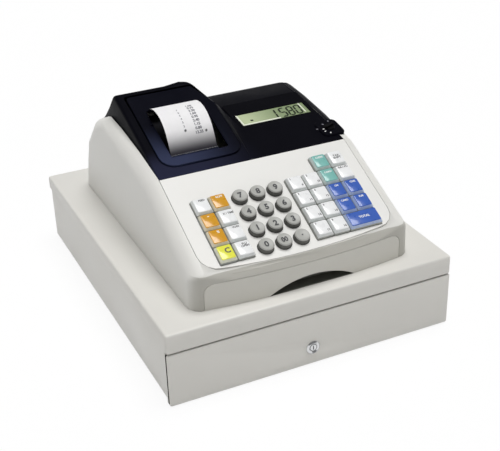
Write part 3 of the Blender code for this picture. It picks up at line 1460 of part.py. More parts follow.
def clip_reach():
    """Half the length of the clips' shaft, into both side walls of the insert."""
    return INSERT_HALF_WIDTH - INSERT_WALL / 2


def clip_axis():
    """Axis of the bill clips along X, near the top of the insert's back wall, as (y, z)."""
    return (INSERT_BACK - INSERT_WALL - CLIP_BACK_GAP, INSERT_LOW + INSERT_HEIGHT - 2 * CLIP_BARREL)


def clip_spans():
    """Left and right edges of each clip."""
    middles = [(left + right) / 2 for left, right in bin_spans(BILL_BINS)]
    return [(middle - CLIP_WIDTH / 2, middle + CLIP_WIDTH / 2) for middle in middles]


def bill_clips():
    """Four strips with curled tips on one shaft, which hold the bills down."""
    y, z = clip_axis()
    down = Vector((0, -math.cos(CLIP_DROP_ANGLE), -math.sin(CLIP_DROP_ANGLE)))
    up = Vector((0, down.z, -down.y))
    clips = bmesh.new()
    for low_x, high_x in clip_spans():
        side_line = [down * along + up * rise for along, rise in clip_outline()]
        rings = [[clips.verts.new(Vector((x, 0, 0)) + point) for point in side_line] for x in (low_x, high_x)]
        for index, vertex in enumerate(rings[0]):
            following = (index + 1) % len(rings[0])
            clips.faces.new((vertex, rings[0][following], rings[1][following], rings[1][index]))
        clips.faces.new(reversed(rings[0]))
        clips.faces.new(rings[1])
    bmesh.ops.recalc_face_normals(clips, faces=clips.faces)
    item = from_bmesh("bill_clips", clips)
    item.location = (0, y, z)
    join(item, rod("clip_shaft", (-clip_reach(), y, z), (clip_reach(), y, z), CLIP_SHAFT, KEY_STEPS // 2))
    return finish(item, STEEL, 0.35, 0.9)


def clip_outline():
    """Side outline of a clip, as (along, rise) from its axis: a barrel, a strip and a lifted tip."""
    sheet = CLIP_SHEET
    angles = [math.radians(60.0 + 240.0 * step / BODY_STEPS) for step in range(BODY_STEPS + 1)]
    barrel = [(CLIP_BARREL * math.cos(angle), CLIP_BARREL * math.sin(angle)) for angle in angles]
    lift = CLIP_BARREL * 2
    tip = [(CLIP_LENGTH - lift, -sheet / 2), (CLIP_LENGTH, lift - sheet / 2),
           (CLIP_LENGTH - sheet, lift + sheet / 2), (CLIP_LENGTH - lift - sheet / 2, sheet / 2)]
    return barrel + tip


def lock():
    """The drawer lock: a bezel with its barrel, and the plug with its keyway."""
    place = Matrix.Translation((LOCK_X, FRONT_Y, LOCK_HEIGHT)) @ Matrix.Rotation(math.pi / 2, 4, "X")
    bore = PLUG_RADIUS + SEAT
    proud = LOCK_PROUD
    profile = [(bore, -LOCK_LENGTH), (bore, proud * 0.4), (LOCK_BARREL, proud),
               (LOCK_RADIUS - proud / 2, proud * 0.8), (LOCK_RADIUS, SEAT), (LOCK_BARREL, SEAT),
               (LOCK_BARREL, -LOCK_LENGTH), (bore, -LOCK_LENGTH)]
    body = turned("drawer_lock", profile)
    body.matrix_world = place
    finish(body, STEEL, 0.25, 1.0)
    front = proud * 0.4
    plug = turned("lock_plug", [(0, front), (PLUG_RADIUS - SEAT, front), (PLUG_RADIUS, 0),
                                (PLUG_RADIUS, -LOCK_LENGTH), (0, -LOCK_LENGTH)], KEY_STEPS)
    plug.matrix_world = place
    slot = box("keyway", (-KEYWAY_WIDTH / 2, -KEYWAY_HEIGHT / 2, -KEYWAY_DEPTH),
               (KEYWAY_WIDTH / 2, KEYWAY_HEIGHT / 2, OVERRUN))
    slot.matrix_world = place
    cut(plug, slot)
    finish(plug, STEEL, 0.25, 1.0)


def main():
    clear_scene()
    cabinet_shell()
    cabinet_lid()
    drawer_front()
    drawer_tray()
    till_insert()
    bill_clips()
    lock()
    lower_case()
    upper_case()
    keyboard_panel()
    key_guide_board()
    keys()
    deck_cover()
    display()
    mode_key()
    printer_mechanism()
    rollers()
    ticket()
    printer_cover()
    tear_bar()


main()
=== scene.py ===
"""A ticket register on its cash drawer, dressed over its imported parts.

Every length is in metres, or in millimetres where a name ends in mm. +Z is up and the
operator's side is towards -Y.
"""

from __future__ import annotations

import logging
import math
from dataclasses import dataclass, field, replace
from enum import Enum
from typing import Callable, Iterable

import bmesh
import bpy
from mathutils import Matrix, Vector
from mathutils.bvhtree import BVHTree

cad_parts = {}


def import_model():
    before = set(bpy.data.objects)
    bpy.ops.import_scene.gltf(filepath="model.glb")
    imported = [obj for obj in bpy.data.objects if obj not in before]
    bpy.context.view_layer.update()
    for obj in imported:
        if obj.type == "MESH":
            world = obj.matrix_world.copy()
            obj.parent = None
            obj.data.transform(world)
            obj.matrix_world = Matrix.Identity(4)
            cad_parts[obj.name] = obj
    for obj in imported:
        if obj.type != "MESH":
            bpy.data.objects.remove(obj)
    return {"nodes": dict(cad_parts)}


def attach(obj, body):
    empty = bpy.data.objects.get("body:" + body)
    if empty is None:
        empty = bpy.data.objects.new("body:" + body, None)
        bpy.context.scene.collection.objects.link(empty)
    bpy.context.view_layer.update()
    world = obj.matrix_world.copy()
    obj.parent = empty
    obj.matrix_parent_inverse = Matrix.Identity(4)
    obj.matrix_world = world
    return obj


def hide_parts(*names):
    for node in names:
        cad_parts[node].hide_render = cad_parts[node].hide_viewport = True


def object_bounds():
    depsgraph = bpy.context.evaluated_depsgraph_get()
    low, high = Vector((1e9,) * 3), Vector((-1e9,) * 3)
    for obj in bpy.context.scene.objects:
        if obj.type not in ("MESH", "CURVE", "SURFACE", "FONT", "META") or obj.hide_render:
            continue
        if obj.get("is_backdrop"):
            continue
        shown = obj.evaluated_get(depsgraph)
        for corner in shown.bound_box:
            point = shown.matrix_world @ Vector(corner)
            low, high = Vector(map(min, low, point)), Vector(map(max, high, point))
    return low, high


Item = bpy.types.Object
Mesh = bmesh.types.BMesh
Node = bpy.types.Node
Socket = bpy.types.NodeSocket
Tree = bpy.types.NodeTree
# The run so far, the place and the outward direction, step by step
Track = list[tuple[float, Vector, Vector]]

LOG = logging.getLogger("ticket_register")
MM = 0.001
# Points closer than this are one point, and faces this little tilted are one face
WELD = 0.002 * MM
FLAT = math.radians(0.4)
# The angle from which an edge counts as sharp, and the facets of a drawn corner
SHARP_DEGREES = 32.0
CORNER_STEPS = 5


# Colour and node helpers


def linear(colour: str) -> tuple[float, float, float, float]:
    """Turn an sRGB hex colour into linear red, green, blue and alpha."""
    values = [int(colour[place:place + 2], 16) / 255 for place in (1, 3, 5)]
    red, green, blue = [value / 12.92 if value <= 0.04045 else ((value + 0.055) / 1.055) ** 2.4
                        for value in values]
    return red, green, blue, 1.0


def set_up(thing: bpy.types.bpy_struct, **settings: object) -> bpy.types.bpy_struct:
    """Set properties of a new Blender thing and hand it back."""
    for name, value in settings.items():
        setattr(thing, name, value)
    return thing


def wire(tree: Tree, node: Node, inputs: dict) -> None:
    """Give a node's inputs their values or links.

    Args:
        tree: the node tree.
        node: the node.
        inputs: values or output sockets for its inputs, by name or number.
    """
    for name, value in inputs.items():
        if isinstance(value, Socket):
            tree.links.new(value, node.inputs[name])
        else:
            node.inputs[name].default_value = value


def add_node(tree: Tree, kind: str, inputs: dict | None = None, **settings: object) -> Node:
    """Add a node of a kind with its inputs and its own settings."""
    node = set_up(tree.nodes.new(kind), **settings)
    wire(tree, node, inputs or {})
    return node


def per_metre(size_mm: float) -> float:
    """A texture's scale for a pattern that repeats every so many millimetres."""
    return 1.0 / (size_mm * MM)


# Finishes


@dataclass(frozen=True)
class Finish:
    """A real material and its surface, from which one Blender material is made.

    The colour can drift to a second tone along the object's axes. Each ramp holds an axis, the
    place where the drift starts and the place where it is full.
    """

    name: str
    colour: str
    roughness: float = 0.5
    metallic: float = 0.0
    ior: float = 1.5
    specular: float = 0.5
    grain_mm: float = 0.8
    depth_mm: float = 0.01
    mottle_mm: float = 30.0
    mottle: float = 0.02
    roughness_share: float = 0.06
    drift_low: float = 0.3
    drift_high: float = 0.7
    tone: str = "#808080"
    ramps: tuple[tuple[int, float, float], ...] = ()

    def like(self, name: str, colour: str, **changes: object) -> Finish:
        """The same material in another colour, with some of its values changed."""
        return replace(self, name=name, colour=colour, **changes)

    def noises(self, tree: Tree, place: Socket) -> tuple[Socket, Socket]:
        """Make a slow drift for colour and polish, and a fine grain for the bumps."""
        drift, grain = [
            add_node(tree, "ShaderNodeTexNoise",
                     {"Vector": place, "Scale": per_metre(size_mm), "Detail": detail}).outputs[0]
            for size_mm, detail in ((self.mottle_mm, 3.0), (self.grain_mm, 2.0))]
        return drift, grain

    def surface(self, tree: Tree, shader: Node, place: Socket) -> None:
        """Let the shader's colour and polish drift, and its face follow the grain.

        Args:
            tree: the material's nodes.
            shader: its Principled node.
            place: texture coordinates in metres.
        """
        drift, grain = self.noises(tree, place)
        value, polish = [
            add_node(tree, "ShaderNodeMapRange",
                     {0: drift, 1: self.drift_low, 2: self.drift_high,
                      3: middle - share, 4: middle + share}).outputs[0]
            for middle, share in ((1.0, self.mottle), (self.roughness, self.roughness_share))]
        tint = add_node(tree, "ShaderNodeHueSaturation",
                        {"Color": linear(self.colour), "Value": value}).outputs[0]
        bump = add_node(tree, "ShaderNodeBump", {"Height": grain, "Strength": 1.0,
                                                 "Distance": self.depth_mm * MM}).outputs[0]
        wire(tree, shader, {"Base Color": self.toned(tree, tint, place), "Roughness": polish,
                            "Normal": bump})

    def toned(self, tree: Tree, tint: Socket, place: Socket) -> Socket:
        """Blend the second tone into the first where all the ramps have risen."""
        axes = add_node(tree, "ShaderNodeSeparateXYZ", {"Vector": place}).outputs
        share = None
        for axis, start, full in self.ramps:
            ramp = add_node(tree, "ShaderNodeMapRange",
                            {0: axes[axis], 1: start, 2: full, 3: 0.0, 4: 1.0},
                            interpolation_type="SMOOTHSTEP").outputs[0]
            share = ramp if share is None else add_node(
                tree, "ShaderNodeMath", {0: share, 1: ramp}, operation="MULTIPLY").outputs[0]
        return tint if share is None else add_node(
            tree, "ShaderNodeMix", {0: share, 6: tint, 7: linear(self.tone)},
            data_type="RGBA").outputs[2]

    def constants(self) -> dict[str, float]:
        """The shader's values that are the same all over the surface."""
        return {"Metallic": self.metallic, "Specular IOR Level": self.specular, "IOR": self.ior}

    def material(self) -> bpy.types.Material:
        """The finish's material, made once and then shared."""
        made = bpy.data.materials.get(self.name)
        if made is not None:
            return made
        made = bpy.data.materials.new(self.name)
        made.use_nodes = True
        tree = made.node_tree
        shader = tree.nodes["Principled BSDF"]
        self.surface(tree, shader, add_node(tree, "ShaderNodeTexCoord").outputs["Object"])
        wire(tree, shader, self.constants())
        return made


@dataclass(frozen=True)
class ClearCoated(Finish):
    """A coloured label under clear polystyrene: the coat gives it a hard, bright sheen."""

    coat: float = 0.5
    coat_roughness: float = 0.08

    def constants(self) -> dict[str, float]:
        """Add the clear layer over the colour."""
        return {**super().constants(), "Coat Weight": self.coat,
                "Coat Roughness": self.coat_roughness}


@dataclass(frozen=True)
class Brushed(Finish):
    """Rolled or brushed metal, whose fine lines run along X."""

    drift_low: float = 0.25
    drift_high: float = 0.75
    line_mm: float = 0.5
    run_mm: float = 30.0

    def noises(self, tree: Tree, place: Socket) -> tuple[Socket, Socket]:
        """Make long fine lines, which colour, polish and bumps all follow."""
        run, line = per_metre(self.run_mm), per_metre(self.line_mm)
        stretch = add_node(tree, "ShaderNodeMapping", {"Vector": place, "Scale": (run, line, line)})
        lines = add_node(tree, "ShaderNodeTexNoise",
                         {"Vector": stretch.outputs[0], "Scale": 1.0, "Detail": 3.0})
        return lines.outputs[0], lines.outputs[0]


# Powder coat on folded sheet steel: off-white, with a soft orange peel
POWDER_COAT = Finish("powder_coated_steel", "#E2E0DA", roughness=0.42, grain_mm=1.8,
                     depth_mm=0.02, mottle_mm=60.0, mottle=0.012)
# ABS, injection moulded in a spark-eroded tool: a fine even grain, drawn coarser to show. On
# the lower front it is a little warmer and greyer than the body, as painted shade, and on the
# keyboard smoother. The body's second tone is painted shade on its front below the keyboard:
# the lip and the front corners
FASCIA_ABS = Finish("fascia_abs_white", "#D6D4CC", roughness=0.45, grain_mm=0.7,
                    depth_mm=0.012, mottle_mm=45.0, mottle=0.012)
WHITE_ABS = FASCIA_ABS.like("moulded_abs_white", "#E8E7E2", tone="#BCBAB2",
                            ramps=((1, -0.164, -0.179), (2, 0.1247, 0.1238)))
PANEL_ABS = FASCIA_ABS.like("panel_abs_white", "#EBEAE6", roughness=0.40, grain_mm=0.6,
                            depth_mm=0.008, mottle=0.010)
# Dark blue ABS from a polished tool: near black, with a satin gloss. The printer cover's is
# a little bluer and glossier than the deck's. Both grow lighter towards the front and the left:
# a painted sheen
NAVY_ABS = Finish("moulded_abs_navy", "#0B0B12", roughness=0.42, specular=0.02, grain_mm=0.6,
                  depth_mm=0.004, mottle_mm=25.0, mottle=0.05, tone="#26283C",
                  ramps=((1, -0.015, -0.045), (0, 0.020, -0.070)))
COVER_ABS = NAVY_ABS.like("cover_abs_navy", "#0B0C16", roughness=0.38, specular=0.025,
                          tone="#343A54", ramps=((1, 0.020, -0.045), (0, 0.000, -0.080)))
# Smoked acrylic in front of the display: smooth and a little greyer than its surround
SMOKED_ACRYLIC = Finish("smoked_acrylic", "#0D0D12", roughness=0.2, ior=1.49, specular=0.02,
                        grain_mm=4.0, depth_mm=0.002, mottle=0.04)
# Reflective liquid crystal: yellow-green at the left, deeper towards the right, with pale
# cut edges and dark strokes, whose soft shadow on the mirror behind is painted as a second image
CRYSTAL = Finish("liquid_crystal_glass", "#C4D0A8", roughness=0.15, ior=1.52, specular=0.3,
                 grain_mm=3.0, depth_mm=0.001, mottle_mm=12.0, mottle=0.03, tone="#8E9E78",
                 ramps=((0, 0.020, 0.075),))
CRYSTAL_EDGE = Finish("crystal_edge", "#EFF3E0", roughness=0.3, grain_mm=0.5,
                      depth_mm=0.002, mottle_mm=6.0, mottle=0.04)
CRYSTAL_SHADE = Finish("crystal_segment_shade", "#6F7D58", roughness=0.3, grain_mm=0.5,
                       depth_mm=0.001, mottle_mm=2.0, mottle=0.1)
CRYSTAL_INK = CRYSTAL_SHADE.like("crystal_segments", "#202A1C", roughness=0.25, specular=0.3,
                                 mottle=0.15)
# Grey ABS number keys, satin, with a fine grain; their sides are darker, as painted shade
KEY_GREY = Finish("key_abs_grey", "#B2B2AD", roughness=0.42, grain_mm=0.4, depth_mm=0.008,
                  mottle_mm=8.0, mottle=0.03)
KEY_SIDE_PAINTED_SHADE = KEY_GREY.like("key_abs_grey_side_painted_shade", "#5E5E5A", roughness=0.5, mottle=0.04)
# Black ABS: matt and grained in the till insert, finer and darker on the mode switch
TILL_ABS = Finish("moulded_abs_black", "#242427", roughness=0.48, specular=0.4, grain_mm=0.9,
                  depth_mm=0.02, mottle_mm=20.0, mottle=0.08)
SWITCH_ABS = TILL_ABS.like("switch_abs_black", "#0C0C0F", roughness=0.45, specular=0.06,
                           grain_mm=0.5, depth_mm=0.008)
# Painted shade inside the finger recess: a grey for where little light reaches
RECESS_PAINTED_SHADE = Finish("recess_painted_shade_grey", "#74746C", roughness=0.8, specular=0.05, grain_mm=1.0,
                      mottle_mm=15.0, mottle=0.05)
# Glass-epoxy circuit board with its green solder mask
BOARD = Finish("glass_epoxy_board", "#2C5B38", roughness=0.45, grain_mm=0.5, mottle_mm=4.0,
               mottle=0.08)
# Thermal paper: very fine fibres, almost matt. The ticket greys towards the slot that it
# rises from, as painted shade, and the inside of its curl and the roll's round face are dark
# with painted shade
THERMAL_PAPER = Finish("thermal_paper", "#F3F2F3", roughness=0.62, specular=0.3, grain_mm=0.35,
                       depth_mm=0.006, mottle_mm=6.0, mottle=0.015)
TICKET_PAPER = THERMAL_PAPER.like("thermal_paper_ticket", "#F7F6F7", specular=0.2,
                                  tone="#302E36", ramps=((2, 0.2125, 0.1885),))
TICKET_BACK_SHADE = THERMAL_PAPER.like("thermal_paper_underside_painted_shade", "#26262A", roughness=0.7,
                                 specular=0.05, mottle=0.03)
ROLL_SHADE = TICKET_BACK_SHADE.like("thermal_paper_roll_painted_shade", "#2A2A2E", roughness=0.65)
# Nitrile rubber, ground to size: black and dull
RUBBER = Finish("nitrile_rubber", "#141414", roughness=0.75, specular=0.3, grain_mm=0.5,
                depth_mm=0.02, mottle_mm=6.0, mottle=0.1)
# Zinc-plated sheet steel, rolled: a soft sheen with fine lines, drawn coarser to show
ZINC_STEEL = Brushed("zinc_plated_sheet", "#B9BABA", roughness=0.34, metallic=1.0, line_mm=0.4,
                     run_mm=40.0, depth_mm=0.003, mottle=0.08)
# Stainless tear bar, cold rolled: bright, with close lines
TEAR_STEEL = Brushed("tear_bar_steel", "#C9CACC", roughness=0.26, metallic=1.0, line_mm=0.2,
                     run_mm=12.0, depth_mm=0.002, mottle=0.06)
# Nickel-plated brass lock, turned and polished
LOCK_CHROME = Brushed("nickel_plated_brass", "#D2D3D4", roughness=0.2, metallic=1.0, line_mm=0.3,
                      run_mm=3.0, depth_mm=0.002, mottle=0.05)
# The cut gap of a folded hem, and the one behind the drawer's front plate: grey and darker, as
# painted shade
JOINT_GREY = Finish("joint_painted_shade_grey", "#9A9892", roughness=0.7, specular=0.1, mottle_mm=20.0,
                    mottle=0.03)
JOINT_DARK = JOINT_GREY.like("joint_painted_shade_dark", "#3A3936")
# Clear polystyrene skirt of a square key over the dark board below
CAP_SKIRT = ClearCoated("cap_skirt_clear", "#A4A7A1", roughness=0.3, depth_mm=0.002,
                        mottle_mm=5.0, mottle=0.05)
# Heat-darkened print on the ticket, whose grey also marks the mode switch's painted glints,
# and screen-printed inks on keys and deck
PRINT_AND_GLINT_GREY = Finish("thermal_print_and_painted_glint", "#73737B", roughness=0.6, grain_mm=0.3, depth_mm=0.002,
                    mottle_mm=1.5, mottle=0.25)
DARK_INK = Finish("legend_ink_dark", "#3E3E40", grain_mm=0.3, depth_mm=0.002, mottle_mm=2.0,
                  mottle=0.08)
LIGHT_INK = DARK_INK.like("legend_ink_light", "#F2F2F0", mottle=0.03)


class Label(Enum):
    """The labels under the clear key caps: the label, the cap's paler rim and the ink."""

    WHITE = ("#F6F7F7", "#DDE0DF", DARK_INK)
    ORANGE = ("#DA9C0E", "#E2D8C0", LIGHT_INK)
    YELLOW = ("#F0EF4C", "#E2E2CC", DARK_INK)
    TEAL = ("#7DBDB5", "#C6D4D1", LIGHT_INK)
    BLUE = ("#3560BC", "#AFBEDE", LIGHT_INK)

    def face(self) -> Finish:
        """The label's finish."""
        return CAP_SKIRT.like(f"label_{self.name.lower()}", self.value[0], grain_mm=0.5,
                              mottle_mm=7.0, mottle=0.03)

    def rim(self) -> Finish:
        """The finish of the clear cap round the label, where a little of its colour shows."""
        return CAP_SKIRT.like(f"cap_rim_{self.name.lower()}", self.value[1], roughness=0.25)

    def ink(self) -> Finish:
        """What the key's legends are printed in."""
        return self.value[2]


# Mesh helpers


def put_in_scene(name: str, data: bpy.types.ID) -> Item:
    """Put a new object in the scene."""
    item = bpy.data.objects.new(name, data)
    bpy.context.scene.collection.objects.link(item)
    return item


def new_object(name: str, bm: Mesh, finishes: Iterable[Finish]) -> Item:
    """Make an object from a bmesh, which is freed, with a finish for each material index."""
    mesh = bpy.data.meshes.new(name)
    bm.to_mesh(mesh)
    bm.free()
    for finish in finishes:
        mesh.materials.append(finish.material())
    return put_in_scene(name, mesh)


def shade(item: Item, degrees: float = SHARP_DEGREES) -> Item:
    """Shade smooth up to an angle between faces."""
    item.data.shade_smooth()
    item.data.set_sharp_from_angle(angle=math.radians(degrees))
    return item


def paint(item: Item, finish: Finish, chosen: Callable[[bpy.types.MeshPolygon], bool]) -> None:
    """Give a second finish to the faces of a piece that a test picks."""
    item.data.materials.append(finish.material())
    for face in item.data.polygons:
        if chosen(face):
            face.material_index = 1


def evaluated(item: Item) -> bpy.types.Mesh:
    """A new mesh of an object, with its modifiers or its curves worked out."""
    bpy.context.view_layer.update()
    graph = bpy.context.evaluated_depsgraph_get()
    return bpy.data.meshes.new_from_object(item.evaluated_get(graph))


def fit(item: Item, body: str, slot: str, *nodes: str) -> Item:
    """Let a piece ride on a body, and hide the nodes that it stands for.

    Args:
        item: the piece.
        body: the body that carries it.
        slot: not used.
        nodes: nodes that it replaces, if any.

    Returns:
        The piece.
    """
    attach(item, body)
    if nodes:
        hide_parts(*nodes)
    LOG.info("%s rides on %s", item.name, body)
    return item


def add_face(bm: Mesh, points: Iterable[Vector]) -> None:
    """Add one face through its points, in their order."""
    bm.faces.new([bm.verts.new(point) for point in points])


def add_faces(bm: Mesh, points: Iterable[Vector], faces: Iterable[list[int]]) -> None:
    """Add faces that share their points, by point numbers."""
    made = [bm.verts.new(point) for point in points]
    for face in faces:
        bm.faces.new([made[i] for i in face])


def ring_loft(bm: Mesh, rings: list[list[Vector]]) -> list[list[bmesh.types.BMFace]]:
    """Join rings of points, close both ends, and list each step's faces and the end's."""
    loops = [[bm.verts.new(point) for point in ring] for ring in rings]
    count = len(loops[0])
    bm.faces.new(loops[0][::-1])
    steps = [[bm.faces.new((low[i], low[(i + 1) % count], high[(i + 1) % count], high[i]))
              for i in range(count)] for low, high in zip(loops, loops[1:])]
    return steps + [[bm.faces.new(loops[-1])]]


def round_rectangle(half_x: float, half_y: float, radius: float) -> list[Vector]:
    """The outline of a rectangle with round corners, anticlockwise from its right side."""
    points = []
    for quarter, (side_x, side_y) in enumerate(((1, 1), (-1, 1), (-1, -1), (1, -1))):
        centre = Vector((side_x * (half_x - radius), side_y * (half_y - radius), 0))
        for step in range(CORNER_STEPS + 1):
            angle = math.pi / 2 * (quarter + step / CORNER_STEPS)
            points.append(centre + radius * Vector((math.cos(angle), math.sin(angle), 0)))
    return points


def box_of(points: list[Vector]) -> tuple[Vector, Vector]:
    """Lowest and highest corner of the box round some points."""
    return tuple(Vector([pick(point[axis] for point in points) for axis in range(3)])
                 for pick in (min, max))


def local_box(node: Item, place: Matrix) -> tuple[Vector, Vector]:
    """Lowest and highest corner of a node in a tilted frame."""
    back = place.inverted()
    return box_of([back @ vertex.co for vertex in node.data.vertices])


def cut_joints(item: Item, outline: list[tuple[float, float]], sides: tuple[float, float],
               depth: float, finish: Finish) -> None:
    """Cut the same shallow joint into the left and the right side of a piece.

    Args:
        item: the piece.
        outline: the joint's outline along Y and Z, anticlockwise seen from +X.
        sides: the X of the left and the right side.
        depth: how deep the joint goes.
        finish: the joint's finish.
    """
    bm = bmesh.new()
    for side in sides:
        ring_loft(bm, [[Vector((x, y, z)) for y, z in outline]
                       for x in (side - depth, side + depth)])
    bmesh.ops.recalc_face_normals(bm, faces=bm.faces)
    cutter = new_object("joint_cutter", bm, [finish])
    set_up(item.modifiers.new("joint", "BOOLEAN"), object=cutter, solver="EXACT",
           material_mode="TRANSFER")
    made = evaluated(item)
    item.modifiers.clear()
    item.data = made
    bpy.data.objects.remove(cutter)
    shade(item)


def vector(x: float, y: float, z: float) -> Vector:
    """A dataclass field that starts as a vector."""
    return field(default_factory=lambda: Vector((x, y, z)))


# Lettering: a capital's share of the font size, a line's share of its usual pitch, and the
# points to a curve
CAPITAL_SHARE = 0.72
LINE_SHARE = 0.85
CURVE_POINTS = 3


@dataclass(frozen=True)
class Legend:
    """A few printed characters on a key: generic digits, signs or words.

    Their middle is a share of half the width and depth of the key's top.
    """

    text: str
    across_share: float
    up_share: float
    height_mm: float = 2.3


def letter_mesh(text: str, height: float, boldness: float) -> tuple[list[Vector], list[list[int]]]:
    """Flat characters, centred on the origin.

    Args:
        text: what they say, on one or more lines.
        height: height of a capital.
        boldness: how far each stroke grows, as a share of the height.

    Returns:
        Their points and their faces.
    """
    curve = set_up(bpy.data.curves.new("letters", "FONT"), body=text, size=height / CAPITAL_SHARE,
                   align_x="CENTER", align_y="CENTER", resolution_u=CURVE_POINTS,
                   offset=boldness * height, space_line=LINE_SHARE)
    item = put_in_scene("letters", curve)
    mesh = evaluated(item)
    points = [vertex.co.copy() for vertex in mesh.vertices]
    faces = [list(face.vertices) for face in mesh.polygons]
    bpy.data.objects.remove(item)
    bpy.data.curves.remove(curve)
    bpy.data.meshes.remove(mesh)
    low, high = box_of(points)
    return [point - (low + high) / 2 for point in points], faces


# Sub-assemblies


@dataclass
class Register:
    """What every sub-assembly needs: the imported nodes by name."""

    nodes: dict[str, Item]

    def dress(self, name: str, finish: Finish) -> None:
        """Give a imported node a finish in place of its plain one."""
        mesh = self.nodes[name].data
        mesh.materials.clear()
        mesh.materials.append(finish.material())

    def copied(self, name: str, body: str, slot: str, finish: Finish, edge_mm: float = 0.0,
               steps: int = 2, degrees: float = SHARP_DEGREES) -> Item:
        """Stand a welded, rounded and smooth copy in a node's place.

        Args:
            name: the node, which stays as it is.
            body: the body that carries it.
            slot: its material slot.
            finish: its finish.
            edge_mm: radius of its rounded edges, or zero.
            steps: facets across a rounded edge.
            degrees: the angle from which an edge counts as sharp.

        Returns:
            The copy.
        """
        bm = bmesh.new()
        bm.from_mesh(self.nodes[name].data)
        bmesh.ops.remove_doubles(bm, verts=bm.verts, dist=WELD)
        bmesh.ops.dissolve_limit(bm, angle_limit=FLAT, verts=bm.verts, edges=bm.edges)
        bmesh.ops.recalc_face_normals(bm, faces=bm.faces)
        for face in bm.faces:
            face.material_index = 0
        item = new_object(f"{name}_shown", bm, [finish])
        for attribute in ("custom_normal", "sharp_edge", "sharp_face"):
            if item.data.attributes.get(attribute):
                item.data.attributes.remove(item.data.attributes[attribute])
        if edge_mm:
            set_up(item.modifiers.new("edge", "BEVEL"), width=edge_mm * MM, segments=steps,
                   limit_method="ANGLE", angle_limit=math.radians(degrees))
        return fit(shade(item, degrees), body, slot, name)


@dataclass
class Cabinet(Register):
    """The steel cabinet with its lid, drawer, till insert and lock."""

    lid_edge_mm: float = 0.8
    lid_edge_steps: int = 3
    lid_sharp_degrees: float = 25.0
    sheet_edge_mm: float = 0.5
    groove_depth: float = 1.2 * MM
    groove_start: float = 2.0 * MM
    groove_width: float = 3.0 * MM
    hem: float = 0.9 * MM
    hem_depth: float = 0.5 * MM
    lid_edge_line_mm: tuple = ((2.0, 0.0), (9.5, 0.0), (11.0, 1.07), (12.5, 2.1), (14.0, 3.06),
                               (15.5, 3.89), (17.0, 4.57), (18.5, 5.08), (20.0, 5.39), (21.5, 5.5))

    def build(self) -> None:
        """Dress the cabinet and its drawer."""
        edge = self.sheet_edge_mm
        self.groove_lid(self.copied("cabinet_lid", "register", "white_steel", POWDER_COAT,
                                    self.lid_edge_mm, self.lid_edge_steps, self.lid_sharp_degrees))
        self.copied("cabinet_shell", "register", "white_steel", POWDER_COAT, edge)
        self.groove_front(self.copied("drawer_front", "drawer", "white_steel", POWDER_COAT, edge))
        self.copied("drawer_tray", "drawer", "zinc_steel", ZINC_STEEL)
        self.copied("till_insert", "drawer", "black_moulding", TILL_ABS, edge)
        self.copied("bill_clips", "clips", "zinc_steel", ZINC_STEEL)
        self.copied("drawer_lock", "drawer", "bright_steel", LOCK_CHROME)
        self.copied("lock_plug", "lock_barrel", "bright_steel", LOCK_CHROME)

    def groove_front(self, front: Item) -> None:
        """Cut the joint behind the front plate's left and right edges, dark with painted shade."""
        low, high = local_box(front, Matrix())
        near, far = low.y + self.groove_start, low.y + self.groove_start + self.groove_width
        outline = [(near, low.z - MM), (far, low.z - MM), (far, high.z + MM), (near, high.z + MM)]
        cut_joints(front, outline, (low.x, high.x), self.groove_depth, JOINT_DARK)

    def groove_lid(self, lid: Item) -> None:
        """Cut the fine joint along the lower edge of the lid's left and right sides, grey with
        painted shade.
        """
        low, high = local_box(lid, Matrix())
        edge = [(low.y + along * MM, low.z + rise * MM) for along, rise in self.lid_edge_line_mm]
        edge.append((high.y + MM, edge[-1][1]))
        outline = [(y, z - MM) for y, z in edge] + [(y, z + self.hem) for y, z in edge[::-1]]
        cut_joints(lid, outline, (low.x, high.x), self.hem_depth, JOINT_GREY)


